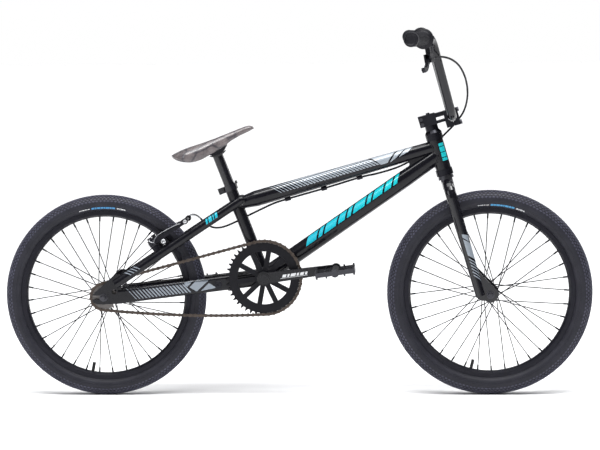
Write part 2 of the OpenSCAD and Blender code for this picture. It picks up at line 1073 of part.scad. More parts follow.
// Two-finger blade that turns on the pin in the lever body
module brake_lever() {
    color(part_black)
        at_lever()
            difference() {
                union() {
                    translate([-3.9, 14, -49])
                        rotate([0, 90, 0])
                            cylinder(h = 7.8, r = 6.6);
                    rotate([0, 90, 0])
                        translate([0, 0, -3.9])
                            linear_extrude(7.8)
                                polygon([[43.5, 14], [53, 8.2], [60, 30], [69, 44], [75, 60],
                                    [78, 84], [72, 92], [66, 88], [66, 62], [60, 46], [50, 30]]);
                }
                translate([-20, 14, -49])
                    rotate([0, 90, 0])
                        cylinder(h = 40, r = 2.5 + run_gap);
            }
}

// ---- wheels ----

// Round casing with a bead that hooks inside each rim edge
module tyre(outer_r) {
    section = (outer_r - bead_r + 3) / 2;
    lip = rim_half - rim_wall - 0.05;
    difference() {
        turned_y()
            translate([outer_r - section, 0])
                circle(section);
        turned_y()
            translate([outer_r - section, 0])
                circle(section - tyre_wall);
        barrel(rim_out_r + 0.2, -40, 40);
    }
    for (s = [-1, 1])
        turned_y()
            polygon([[rim_out_r - 4.8, s * (lip - 2.5)], [rim_out_r - 4.8, s * lip],
                [rim_out_r + 0.2, s * lip], [rim_out_r + 0.2, s * (lip + 2)],
                [rim_out_r + 2.6, s * (lip + 2)], [rim_out_r + 2.6, s * (lip - 2.5)]]);
}

// Turn about the hub that sets the valve midway between two spokes
function valve_turn(start) = 105 - start;

// Round air tube with a bored valve stem
module inner_tube(outer_r, start) {
    mid = outer_r - tyre_wall - 0.2 - air_r;
    difference() {
        union() {
            turned_y()
                translate([mid, 0])
                    circle(air_r);
            rotate([0, valve_turn(start), 0])
                translate([rim_in_r - 22, 0, 0])
                    rotate([0, 90, 0])
                        cylinder(h = mid - rim_in_r + 22 - air_r + 1, r = 3.9);
        }
        turned_y()
            translate([mid, 0])
                circle(air_r - 1.4);
        rotate([0, valve_turn(start), 0])
            translate([rim_in_r - 23, 0, 0])
                rotate([0, 90, 0])
                    cylinder(h = mid - rim_in_r + 23, r = 1.4);
    }
}

// Double-walled rim section: radius along X, half width along Y
module rim_section() {
    difference() {
        polygon([[rim_in_r, -6], [rim_in_r + 5, -rim_half], [rim_out_r, -rim_half],
            [rim_out_r, rim_half], [rim_in_r + 5, rim_half], [rim_in_r, 6]]);
        polygon([[rim_in_r + 10, -rim_half + rim_wall], [rim_out_r + 1, -rim_half + rim_wall],
            [rim_out_r + 1, rim_half - rim_wall], [rim_in_r + 10, rim_half - rim_wall]]);
        polygon([[rim_in_r + rim_wall, -5], [rim_in_r + 6, -rim_half + 2 * rim_wall],
            [rim_in_r + 8.4, -rim_half + 2 * rim_wall], [rim_in_r + 8.4, rim_half - 2 * rim_wall],
            [rim_in_r + 6, rim_half - 2 * rim_wall], [rim_in_r + rim_wall, 5]]);
    }
}

module rim(start) {
    difference() {
        turned_y()
            rim_section();
        rotate([0, valve_turn(start), 0])
            translate([rim_in_r - 10, 0, 0])
                rotate([0, 90, 0])
                    cylinder(h = 40, r = 4.1);
    }
}

flange_r = 21;
hole_r = 17.5;
spoke_r = 1.15;
flange_t = 3;
front_start = 1.3;
rear_start = 4.1;
tyre_wall = 3.2;
air_r = 15;

// Spokes alternate between the flanges, and between leaning with and against
// the rotation. Side is 1 for the left flange.
function spoke_side(k) = k % 2 == 0 ? 1 : -1;
function spoke_lean(k) = k % 4 < 2 ? 60 : -60;
function spoke_out(k) = (k % 2 == 0) == (k % 4 < 2) ? 1 : -1;
function spoke_turn(k, start) = start + k * 360 / spoke_count;
function flange_hole(k, start, y) = let (a = spoke_turn(k, start) + spoke_lean(k))
    [hole_r * cos(a), y, hole_r * sin(a)];

// One spoke from its flange hole to the rim, with its bent end and its nipple
module spoke(k, start, y) {
    out = spoke_out(k);
    hole = flange_hole(k, start, y);
    lift = flange_t / 2 + spoke_r + (out == spoke_side(k) ? 1.8 : 0.1);
    a = hole + [0, out * lift, 0];
    rim_a = spoke_turn(k, start);
    at_rim = [rim_in_r * cos(rim_a), spoke_side(k) * 1.5, rim_in_r * sin(rim_a)];
    b = at_rim - 0.37 * unit(at_rim - a);
    rod(a, b, spoke_r);
    rod(b - 11 * unit(b - a), b, 2);
    translate(hole)
        barrel(spoke_r, out < 0 ? -lift - 0.9 : -1.4, out < 0 ? 1.4 : lift + 0.9);
}

module spokes(start, y_right, y_left) {
    for (k = [0 : spoke_count - 1])
        spoke(k, start, spoke_side(k) > 0 ? y_left : -y_right);
}

// Hub shell with two drilled flanges and a seat for a bearing at each end
module hub(start, y_right, y_left, end_right, end_left) {
    difference() {
        union() {
            barrel(14, -y_right, y_left);
            barrel(flange_r, -y_right - flange_t / 2, -y_right + flange_t / 2);
            barrel(flange_r, y_left - flange_t / 2, y_left + flange_t / 2);
            barrel(15, -end_right, -y_right);
            barrel(15, y_left, end_left);
        }
        barrel(8, -100, 100);
        barrel(12, -end_right - eps, -end_right + 8);
        barrel(12, end_left - 8, end_left + eps);
        for (k = [0 : spoke_count - 1])
            translate(flange_hole(k, start, spoke_side(k) > 0 ? y_left : -y_right))
                barrel(spoke_r + 0.1, -flange_t, flange_t);
    }
}

module hub_bearings(end_right, end_left) {
    ring_y(12, axle_r + run_gap, -end_right, -end_right + 7);
    ring_y(12, axle_r + run_gap, end_left - 7, end_left);
}

front_flange = 30;
front_end = 43;
rear_flange_r = 24;
rear_flange_l = 33;
rear_end_r = 34;
rear_end_l = 48;

module front_tyre() {
    color(rubber_black)
        translate(front_at)
            tyre(front_tyre_r);
}

module rear_tyre() {
    color(rubber_black)
        translate(rear_at)
            tyre(rear_tyre_r);
}

module front_inner_tube() {
    color(rubber_black)
        translate(front_at)
            inner_tube(front_tyre_r, front_start);
}

module rear_inner_tube() {
    color(rubber_black)
        translate(rear_at)
            inner_tube(rear_tyre_r, rear_start);
}

module front_rim() {
    color(part_black)
        translate(front_at)
            rim(front_start);
}

module rear_rim() {
    color(part_black)
        translate(rear_at)
            rim(rear_start);
}

module front_spokes() {
    color(part_black)
        translate(front_at)
            spokes(front_start, front_flange, front_flange);
}

module rear_spokes() {
    color(part_black)
        translate(rear_at)
            spokes(rear_start, rear_flange_r, rear_flange_l);
}

module front_hub() {
    color(part_black)
        translate(front_at)
            hub(front_start, front_flange, front_flange, front_end, front_end);
}

module rear_hub() {
    color(part_black)
        translate(rear_at)
            hub(rear_start, rear_flange_r, rear_flange_l, rear_end_r, rear_end_l);
}

module front_bearings() {
    color(silver)
        translate(front_at)
            hub_bearings(front_end, front_end);
}

module rear_bearings() {
    color(silver)
        translate(rear_at)
            hub_bearings(rear_end_r, rear_end_l);
}

// ---- drive train ----

// Toothed disc outline for a given pitch radius; a tooth stands between rollers
module sprocket_shape(r, teeth, phase) {
    base = r - 4;
    circle(base);
    for (k = [0 : teeth - 1])
        rotate(phase + (k + 0.5) * 360 / teeth)
            polygon([[base - 1, -3.4], [base - 1, 3.4], [base + 1, 3.1], [r + 3.2, 0.9],
                [r + 3.2, -0.9], [base + 1, -3.1]]);
}

module rear_cog() {
    color(silver)
        translate(rear_at)
            difference() {
                union() {
                    translate([0, chain_y, 0])
                        slab(-tooth_t / 2, tooth_t / 2)
                            sprocket_shape(cog_r, cog_teeth, top_angle + cog_first);
                    barrel(22, -48.5, -36);
                }
                barrel(axle_r + run_gap, -60, -20);
                barrel(15.5, -50, -47);
            }
}

module chainring() {
    web = 64;
    color(part_black)
        translate(bb_at)
            translate([0, chain_y, 0])
                difference() {
                    union() {
                        slab(-tooth_t / 2, tooth_t / 2)
                            difference() {
                                sprocket_shape(ring_r, ring_teeth, top_angle);
                                circle(web);
                            }
                        for (k = [0 : 9])
                            rotate([0, -crank_angle - 36 * k, 0])
                                translate([14, -2.5, -6])
                                    cube([web - 12, 5, 12]);
                        barrel(20, -4.6, 4);
                    }
                    barrel(spindle_r, -20, 20);
                }
}

module crank_spindle() {
    color(part_black)
        translate(bb_at) {
            barrel(spindle_r, -arm_out, arm_out);
            barrel(12, -arm_out - 4, -arm_out);
            barrel(12, arm_out, arm_out + 4);
        }
}

// Right crank, and the same turned half a turn on the other side
module crank_arm(side) {
    at_crank()
        rotate([0, side < 0 ? 0 : 180, 0])
            difference() {
                slab(side < 0 ? -arm_out : arm_in, side < 0 ? -arm_in : arm_out) {
                    circle(16.5);
                    polygon([[0, 13.5], [crank_len, 10], [crank_len, -10], [0, -13.5]]);
                    translate([crank_len, 0])
                        circle(12.5);
                }
                barrel(spindle_r, -80, 80);
                translate([crank_len, 0, 0])
                    barrel(7, -80, 80);
            }
}

module crank_arms() {
    color(part_black) {
        crank_arm(-1);
        crank_arm(1);
    }
}

module pedal_spindles() {
    color(silver)
        for (side = [-1, 1])
            at_crank()
                rotate([0, side < 0 ? 0 : 180, 0])
                    translate([crank_len, 0, 0])
                        scale([1, side, 1]) {
                            barrel(7, arm_in, arm_out);
                            barrel(9, arm_out, arm_out + 3);
                            barrel(pedal_axle_r, arm_out + 3, pedal_end - 6);
                        }
}

// Open platform pedal with traction pins; the frame is square to its axle
module pedal(side) {
    y0 = arm_out + 4;
    long = 94;
    tall = 15;
    at_crank()
        translate([side < 0 ? crank_len : -crank_len, 0, 0])
            scale([1, side, 1])
                difference() {
                    union() {
                        barrel(9.5, y0, pedal_end);
                        for (x = [-long / 2, long / 2 - 5])
                            translate([x, y0 + 6, -tall / 2])
                                cube([5, pedal_end - y0 - 12, tall]);
                        for (x = [-24, 19])
                            translate([x, y0 + 3, -5])
                                cube([5, pedal_end - y0 - 6, 10]);
                        for (y = [y0 + 3, (y0 + pedal_end) / 2 - 2.5, pedal_end - 8])
                            translate([-long / 2 + 1, y, -5.5])
                                cube([long - 2, 5, 11]);
                        for (x = [-long / 2 + 2.5, long / 2 - 2.5, -21.5, 21.5])
                            for (y = [y0 + 16, pedal_end - 14])
                                translate([x, y, -tall / 2 - 3])
                                    cylinder(h = tall + 6, r = 2);
                    }
                    barrel(pedal_axle_r + run_gap, y0 - 1, pedal_end - 5);
                }
}

module pedal_right() {
    color(part_black)
        pedal(-1);
}

module pedal_left() {
    color(part_black)
        pedal(1);
}

// ---- brake ----

// Arm that turns on its post: hub, long blade and the cable eye at its end
module brake_arm(side) {
    color(part_black)
        at_stay()
            translate([post_t, side * post_y, 0])
                difference() {
                    union() {
                        translate([0, 0, 20.3])
                            cylinder(h = 21.5, r = 8.5);
                        translate([0, -5.5, arm_n - 5])
                            cube([arm_len, 11, 10]);
                        translate([pad_t - 8, -5.5, pad_n - 8])
                            cube([16, 11, 16]);
                        translate([arm_len, 0, arm_n])
                            barrel(7, -6, 6);
                    }
                    translate([0, 0, -5])
                        cylinder(h = 60, r = post_r + run_gap);
                    translate([pad_t, 0, pad_n])
                        barrel(3.1, -20, 20);
                    translate([arm_len, 0, arm_n])
                        barrel(2.6, -20, 20);
                }
}

// Pad on a threaded stud, with the stud's nut outside the arm
module brake_pad(side) {
    color(rubber_black)
        at_stay()
            translate([post_t + pad_t, 0, pad_n])
                scale([1, side, 1]) {
                    slab(pad_in, pad_in + 9)
                        rotate(pad_turn) {
                            square([44, 10], center = true);
                            for (s = [-1, 1])
                                translate([s * 22, 0])
                                    circle(5);
                        }
                    barrel(3, pad_in + 9, post_y + 10);
                    barrel(5.5, post_y + 5.8, post_y + 12);
                    barrel(6.5, pad_in + 9, post_y - 6);
                }
}

module brake_arm_right() {
    brake_arm(-1);
}

module brake_arm_left() {
    brake_arm(1);
}

module brake_pad_right() {
    brake_pad(-1);
}

module brake_pad_left() {
    brake_pad(1);
}

module brake_noodle() {
    color(silver)
        cable(noodle_route, 2.5);
}

module brake_wire() {
    color(silver)
        rod(eye_at + [0, 36, 0], eye_at - [0, post_y + 10, 0], 0.9);
}

// ---- seat ----

// Seat post with a round cradle at its top for the saddle base, and the clamp bolt
module seat_post() {
    color(part_black) {
        difference() {
            union() {
                difference() {
                    seat_tube_solid(seat_post_d / 2, post_low, 345);
                    translate(tilt_at)
                        barrel(cradle_r + 3, -30, 30);
                    seat_tube_solid(seat_post_d / 2 - 2.2, post_low - 1, 290);
                }
                translate(tilt_at)
                    cradle();
            }
            seat_tube_solid(3.2, 250, 345);
        }
    }
}

module cradle() {
    difference() {
        barrel(cradle_r + 4.3, -13, 13);
        barrel(cradle_r + 0.3, -20, 20);
        rotate([0, -21, 0])
            translate([-60, -20, -27.5])
                cube([120, 40, 120]);
    }
}

// Ribbed base under the saddle, round on its lower side, with the clamp bolt
module saddle_base() {
    color(part_black)
        difference() {
            translate(tilt_at)
                difference() {
                    barrel(cradle_r, -15, 15);
                    rotate([0, -21, 0])
                        translate([-60, -20, -17])
                            cube([120, 40, 120]);
                }
            saddle_hull();
        }
}

// Outer shape of the saddle: a wide tail, a narrow raised nose
module saddle_hull() {
    hull() {
        for (s = [-1, 1])
            translate([bb_x - 196, s * 48, bb_height + 300])
                sphere(r = 10, $fn = 32);
        for (s = [-1, 1])
            translate([bb_x - 150, s * 30, bb_height + 305])
                sphere(r = 13, $fn = 32);
        translate([bb_x - 214, 0, bb_height + 296])
            sphere(r = 9, $fn = 32);
        translate([bb_x - 110, 0, bb_height + 324])
            sphere(r = 17, $fn = 32);
    }
    hull() {
        translate([bb_x - 110, 0, bb_height + 324])
            sphere(r = 17, $fn = 32);
        translate([bb_x - 36, 0, bb_height + 355])
            sphere(r = 10, $fn = 32);
        for (s = [-1, 1])
            translate([bb_x - 150, s * 30, bb_height + 305])
                sphere(r = 13, $fn = 32);
    }
}

module saddle() {
    color(smoke)
        saddle_hull();
}

head_tube();
top_tube();
down_tube();
seat_tube();
bb_shell();
chainstay_right();
chainstay_left();
seatstay_right();
seatstay_left();
rear_dropouts();
frame_gussets();
frame_fittings();
seat_clamp();
bearing_cups();
frame_bearings();
rear_axle();
chain();
cable_frame();
cable_cross();
fork_steerer();
fork_legs();
fork_dropouts();
headset_spacers();
stem_body();
stem_faceplate();
stem_bolts();
handlebar();
grips();
lever_body();
front_axle();
cable_lever();
front_tyre();
front_inner_tube();
front_rim();
front_spokes();
front_hub();
front_bearings();
rear_tyre();
rear_inner_tube();
rear_rim();
rear_spokes();
rear_hub();
rear_bearings();
rear_cog();
chainring();
crank_spindle();
crank_arms();
pedal_spindles();
pedal_right();
pedal_left();
brake_lever();
brake_arm_right();
brake_arm_left();
brake_pad_right();
brake_pad_left();
brake_noodle();
brake_wire();
seat_post();
saddle();
saddle_base();
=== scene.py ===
import json
import math

import bpy
from mathutils import Matrix, Vector


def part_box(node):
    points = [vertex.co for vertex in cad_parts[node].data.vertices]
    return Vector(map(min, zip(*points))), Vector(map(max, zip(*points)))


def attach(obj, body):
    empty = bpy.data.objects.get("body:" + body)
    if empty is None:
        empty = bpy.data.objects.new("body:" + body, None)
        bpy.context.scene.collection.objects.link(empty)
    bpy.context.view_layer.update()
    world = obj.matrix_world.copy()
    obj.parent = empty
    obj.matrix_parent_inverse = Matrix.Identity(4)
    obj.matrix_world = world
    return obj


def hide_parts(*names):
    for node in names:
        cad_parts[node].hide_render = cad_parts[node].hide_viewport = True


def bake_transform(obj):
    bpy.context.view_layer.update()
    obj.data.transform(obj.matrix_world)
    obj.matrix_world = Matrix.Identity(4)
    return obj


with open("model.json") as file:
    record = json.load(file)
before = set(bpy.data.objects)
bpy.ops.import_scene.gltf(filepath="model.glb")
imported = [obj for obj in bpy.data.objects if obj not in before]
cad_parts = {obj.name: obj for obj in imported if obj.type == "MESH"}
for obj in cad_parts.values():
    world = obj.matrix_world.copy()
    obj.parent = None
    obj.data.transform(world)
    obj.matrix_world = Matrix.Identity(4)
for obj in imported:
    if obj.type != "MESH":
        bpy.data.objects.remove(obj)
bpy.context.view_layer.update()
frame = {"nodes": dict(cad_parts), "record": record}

RECORD = frame["record"]
JOINT = {j["name"]: j for j in RECORD["behaviour"]["joints"]}
MM = 0.001
Y = Vector((0, 1, 0))
X = Vector((1, 0, 0))
Z = Vector((0, 0, 1))

REAR = Vector(JOINT["rear_wheel_spin"]["pos_m"])
FRONT = Vector(JOINT["front_wheel_spin"]["pos_m"])
BB = Vector(JOINT["crank_spin"]["pos_m"])
HEAD = Vector(JOINT["steering_turn"]["pos_m"])
UP = Vector(JOINT["steering_turn"]["axis"]).normalized()
FWD = Vector((UP.z, 0, -UP.x))
SEAT_UP = Vector(JOINT["seat_post_slide"]["axis"]).normalized()
TILT = Vector(JOINT["seat_tilt"]["pos_m"])
STAY_OUT = Vector(JOINT["brake_right_close"]["axis"]).normalized()
STAY_DIR = Vector((STAY_OUT.z, 0, -STAY_OUT.x))


# ---------------------------------------------------------------- camera
def place_camera():
    cx, cy, cz = 0.234163, -5.7, 0.915
    a, e, c = (math.radians(v) for v in (2.3, 5.033, -0.397))
    f = Vector((-math.sin(a) * math.cos(e), math.cos(a) * math.cos(e), -math.sin(e)))
    r = f.cross(Z).normalized()
    u = r.cross(f)
    r2 = math.cos(c) * r + math.sin(c) * u
    u2 = -math.sin(c) * r + math.cos(c) * u
    data = bpy.data.cameras.new("camera")
    cam = bpy.data.objects.new("camera", data)
    bpy.context.scene.collection.objects.link(cam)
    m = Matrix((r2, u2, -f)).transposed().to_4x4()
    m.translation = (cx, cy, cz)
    cam.matrix_world = m
    data.sensor_width = 36
    data.lens = 2366.6 / 600 * 36
    data.clip_start, data.clip_end = 0.1, 200
    data.dof.use_dof = False
    bpy.context.scene.camera = cam


place_camera()


# ---------------------------------------------------------------- materials
class Shader:
    """A material with a principled shader and short calls for its nodes."""

    def __init__(self, name):
        self.mat = bpy.data.materials.new(name)
        self.mat.use_nodes = True
        self.nt = self.mat.node_tree
        self.nt.nodes.clear()
        out = self.nt.nodes.new("ShaderNodeOutputMaterial")
        self.bsdf = self.nt.nodes.new("ShaderNodeBsdfPrincipled")
        self.nt.links.new(self.bsdf.outputs[0], out.inputs[0])
        self.coord = self.nt.nodes.new("ShaderNodeTexCoord").outputs["Object"]

    def node(self, kind, **inputs):
        n = self.nt.nodes.new(kind)
        for k, v in inputs.items():
            key = k.replace("_", " ")
            sock = n.inputs.get(key) or n.inputs.get(k)
            self.put(v, sock)
        return n

    def put(self, v, sock):
        if isinstance(v, bpy.types.NodeSocket):
            self.nt.links.new(v, sock)
        elif sock.type == "RGBA" and len(v) == 3:
            sock.default_value = (*v, 1)
        else:
            sock.default_value = v

    def set(self, **inputs):
        for k, v in inputs.items():
            self.put(v, self.bsdf.inputs[k.replace("_", " ")])

    def noise(self, scale, detail=4, rough=0.55, at=None, stretch=None):
        at = at or self.coord
        if stretch:
            at = self.node("ShaderNodeVectorMath", Vector=at)
            at.operation = "MULTIPLY"
            at.inputs[1].default_value = stretch
            at = at.outputs[0]
        n = self.node("ShaderNodeTexNoise", Vector=at, Scale=scale, Detail=detail, Roughness=rough)
        return n.outputs["Fac"]

    def voronoi(self, scale, feature="F1", at=None, out="Distance"):
        n = self.node("ShaderNodeTexVoronoi", Vector=at or self.coord, Scale=scale)
        n.feature = feature
        return n.outputs[out]

    def ramp(self, fac, lo, hi, a=0.0, b=1.0):
        n = self.node("ShaderNodeMapRange", Value=fac)
        n.inputs["From Min"].default_value = lo
        n.inputs["From Max"].default_value = hi
        n.inputs["To Min"].default_value = a
        n.inputs["To Max"].default_value = b
        return n.outputs[0]

    def mix(self, fac, a, b):
        n = self.nt.nodes.new("ShaderNodeMix")
        n.data_type = "RGBA"
        self.put(fac, n.inputs[0])
        self.put(a, n.inputs[6])
        self.put(b, n.inputs[7])
        return n.outputs[2]

    def math(self, op, a, b=0.0):
        n = self.nt.nodes.new("ShaderNodeMath")
        n.operation = op
        self.put(a, n.inputs[0])
        self.put(b, n.inputs[1])
        return n.outputs[0]

    def bump(self, height, distance=0.0002, strength=1.0, normal=None):
        n = self.node("ShaderNodeBump", Height=height, Distance=distance, Strength=strength)
        if normal is not None:
            self.nt.links.new(normal, n.inputs["Normal"])
        self.nt.links.new(n.outputs[0], self.bsdf.inputs["Normal"])
        return n.outputs[0]


def shade(c, k):
    return tuple(min(1, v * k) for v in c)


def painted(name, colour, rough=0.22, coat=0.6, peel=1.0, metal=0.0):
    """Sprayed and lacquered paint: slight orange peel, dust and thin scuffs."""
    s = Shader(name)
    dust = s.ramp(s.noise(38, 6, 0.62), 0.45, 0.75)
    scuff = s.ramp(s.noise(210, 3, 0.5, stretch=(1, 0.35, 1)), 0.6, 0.72)
    s.set(Base_Color=s.mix(s.math("MULTIPLY", dust, 0.3), colour, shade(colour, 1.7)),
          Metallic=metal, Coat_Weight=coat, Coat_Roughness=0.06, Specular_IOR_Level=0.16,
          Roughness=s.math("ADD", s.ramp(s.noise(60, 5), 0.3, 0.7, rough - 0.04, rough + 0.07),
                           s.math("MULTIPLY", scuff, 0.05)))
    s.bump(s.noise(420, 3, 0.5), 0.00006 * peel, 0.5)
    return s.mat


def anodised(name, colour, rough=0.42, metal=0.75, grain=1.0):
    """Blasted and anodised alloy: fine even grain, worn a little paler in patches."""
    s = Shader(name)
    worn = s.ramp(s.noise(45, 6, 0.6), 0.5, 0.74)
    s.set(Base_Color=s.mix(s.math("MULTIPLY", worn, 0.4), colour, shade(colour, 1.9)),
          Metallic=metal, Specular_IOR_Level=0.2,
          Roughness=s.ramp(s.noise(150, 4), 0.3, 0.7, rough - 0.07, rough + 0.08))
    s.bump(s.noise(1500, 2, 0.6), 0.00005 * grain, 0.5)
    return s.mat


def bare_metal(name, colour, rough=0.28, stretch=(1, 30, 1), grime=0.3, dark=(0.05, 0.04, 0.035)):
    """Turned or drawn metal: brush lines along one direction and grime in patches."""
    s = Shader(name)
    brush = s.noise(90, 4, 0.6, stretch=stretch)
    dirt = s.ramp(s.noise(70, 7, 0.65), 0.52, 0.75)
    s.set(Base_Color=s.mix(s.math("MULTIPLY", dirt, grime), s.mix(brush, shade(colour, 0.82), colour), dark),
          Metallic=1.0, Roughness=s.math("ADD", s.ramp(brush, 0.3, 0.7, rough - 0.06, rough + 0.08),
                                         s.math("MULTIPLY", dirt, 0.25)))
    s.bump(brush, 0.00004, 0.5)
    return s.mat


def rubber(name, colour, rough=0.62, grain=900, dusty=0.4):
    s = Shader(name)
    dust = s.ramp(s.noise(26, 7, 0.66), 0.42, 0.72)
    s.set(Base_Color=s.mix(s.math("MULTIPLY", dust, dusty), colour, shade(colour, 1.8)),
          Roughness=s.ramp(s.noise(80, 5), 0.3, 0.7, rough - 0.08, rough + 0.1),
          Specular_IOR_Level=0.25)
    s.bump(s.noise(grain, 3, 0.6), 0.0001, 0.6)
    return s.mat


def smoked_plastic():
    """Tinted clear moulding with dark veins under a satin skin."""
    s = Shader("smoked_plastic")
    warp = s.node("ShaderNodeTexNoise", Vector=s.coord, Scale=9.0, Detail=3.0).outputs["Color"]
    moved = s.node("ShaderNodeVectorMath", Vector=warp)
    moved.operation = "SCALE"
    moved.inputs["Scale"].default_value = 0.035
    at = s.node("ShaderNodeVectorMath", Vector=s.coord)
    at.operation = "ADD"
    s.nt.links.new(moved.outputs[0], at.inputs[1])
    wide = s.voronoi(19, "DISTANCE_TO_EDGE", at.outputs[0])
    thin = s.voronoi(44, "DISTANCE_TO_EDGE", at.outputs[0])
    vein = s.math("MAXIMUM", s.ramp(wide, 0.0, 0.075, 1.0, 0.0), s.ramp(thin, 0.0, 0.035, 0.3, 0.0))
    cloud = s.noise(22, 5, 0.6, at.outputs[0])
    base = s.mix(s.ramp(cloud, 0.35, 0.68), (0.080, 0.070, 0.074), (0.190, 0.165, 0.165))
    s.set(Base_Color=s.mix(s.math("MULTIPLY", vein, 0.85), base, (0.030, 0.030, 0.040)),
          Roughness=s.ramp(s.noise(90, 4), 0.3, 0.7, 0.2, 0.32), IOR=1.46,
          Subsurface_Weight=0.15, Subsurface_Radius=(0.006, 0.005, 0.005), Coat_Weight=0.4,
          Coat_Roughness=0.12)
    s.bump(s.noise(260, 4), 0.00012, 0.4)
    return s.mat


def print_film(name, colour, other, along=(1, 0, 0), lo=0.0, hi=1.0, metal=0.0):
    """Printed film under lacquer, its colour changing from one to another along a direction. For the grey and
    cyan films the direction points up, so marks higher on the bike are lighter: painted light from above.
    """
    s = Shader(name)
    d = s.node("ShaderNodeVectorMath", Vector=s.coord)
    d.operation = "DOT_PRODUCT"
    d.inputs[1].default_value = along
    # for the grey and cyan films this change with height is painted light from above, laid over the print
    # colour
    fade_and_painted_light = s.ramp(d.outputs["Value"], lo, hi)
    grain = s.ramp(s.noise(700, 3), 0.35, 0.65)
    tint = s.mix(fade_and_painted_light, colour, other)
    s.set(Base_Color=s.mix(s.math("MULTIPLY", grain, 0.12), tint, shade(colour, 0.7)), Metallic=metal,
          Roughness=s.ramp(s.noise(120, 4), 0.3, 0.7, 0.26, 0.36), Coat_Weight=0.6, Coat_Roughness=0.08)
    s.bump(s.noise(420, 3, 0.5), 0.00005, 0.4)
    return s.mat


def tyre_rubber(name, k=1.0):
    """Tyre compound, with moulding dust lying on it and finer grain on the side walls. k scales the colour; the
    lighter and darker copies made with it are painted highlight and painted shade.
    """
    s = Shader(name)
    dust = s.ramp(s.noise(34, 7, 0.68), 0.4, 0.75)
    fine = s.noise(520, 4, 0.6)
    s.set(Base_Color=s.mix(s.math("MULTIPLY", dust, 0.5), shade((0.0125, 0.0125, 0.0190), k),
                            shade((0.028, 0.028, 0.040), k)),
          Roughness=s.ramp(fine, 0.3, 0.7, 0.46, 0.64), Specular_IOR_Level=0.3)
    s.bump(fine, 0.00016, 0.6)
    return s.mat


M = {
    "frame": painted("frame_paint", (0.0045, 0.0045, 0.0070), 0.2, 0.25),
    "fork": painted("fork_paint", (0.0045, 0.0045, 0.0072), 0.15, 0.6),
    "bar": painted("bar_paint", (0.0050, 0.0050, 0.0080), 0.16, 0.5, 0.6),
    "arm": painted("crank_paint", (0.006, 0.006, 0.008), 0.26, 0.3),
    "post": painted("post_paint", (0.0050, 0.0050, 0.0080), 0.17, 0.7),
    "alloy": anodised("black_alloy", (0.011, 0.011, 0.015), 0.38, 0.35),
    "cup": anodised("polished_black", (0.010, 0.010, 0.014), 0.18, 0.5),
    "rim": anodised("rim_alloy", (0.0105, 0.0105, 0.0155), 0.33, 0.3),
    "ring": anodised("ring_alloy", (0.007, 0.007, 0.0095), 0.44, 0.2),
    "bolt": bare_metal("black_steel", (0.075, 0.075, 0.085), 0.34, (1, 6, 1), 0.2),
    "spoke": anodised("spoke_black", (0.006, 0.006, 0.009), 0.36, 0.1),
    "silver": bare_metal("bright_alloy", (0.62, 0.63, 0.65), 0.27, (1, 12, 1), 0.25),
    "wire": bare_metal("steel_wire", (0.50, 0.51, 0.53), 0.3, (8, 8, 8), 0.2),
    "chain": bare_metal("bronze_chain", (0.095, 0.078, 0.068), 0.4, (14, 2, 14), 0.6, (0.013, 0.011, 0.010)),
    "pin": bare_metal("chain_pins", (0.42, 0.36, 0.31), 0.36, (14, 2, 14), 0.4, (0.02, 0.016, 0.014)),
    "cog": bare_metal("cog_steel", (0.16, 0.15, 0.145), 0.36, (20, 1, 20), 0.5),
    "grip": rubber("grip_rubber", (0.0070, 0.0070, 0.0105), 0.5, 1300, 0.2),
    "cable": rubber("cable_sleeve", (0.010, 0.010, 0.013), 0.36, 400, 0.3),
    "pad": rubber("pad_rubber", (0.012, 0.012, 0.014), 0.62, 900, 0.4),
    "tube": rubber("tube_rubber", (0.012, 0.012, 0.013), 0.5, 600, 0.2),
    "tyre": tyre_rubber("tyre_rubber"),
    # tread and groove are lighter and darker copies of the tyre rubber: painted highlight on the raised studs
    # and painted shade between them
    "tread_highlight": tyre_rubber("tread_highlight_rubber", 3.4),
    "groove_shade": tyre_rubber("groove_shade_rubber", 0.55),
    "smoke": smoked_plastic(),
    "base": anodised("saddle_base_plastic", (0.010, 0.010, 0.014), 0.4, 0.0),
    # cyan and grey films grow lighter higher up: painted light from above over the print colour
    "cyan": print_film("cyan_film_painted_light", (0.0, 0.40, 0.52), (0.0, 0.52, 0.56), (0.3, 0, 1), 0.40, 0.62),
    "grey": print_film("silver_film_painted_light", (0.20, 0.23, 0.27), (0.34, 0.38, 0.42), (0, 0, 1), 0.2, 0.65, 0.1),
    "white": print_film("white_film", (0.62, 0.63, 0.64), (0.54, 0.55, 0.57), (1, 0, 0), 0.0, 0.1),
    "blue": print_film("blue_film", (0.005, 0.22, 0.50), (0.01, 0.28, 0.54), (1, 0, 0), 0.0, 1.0),
}

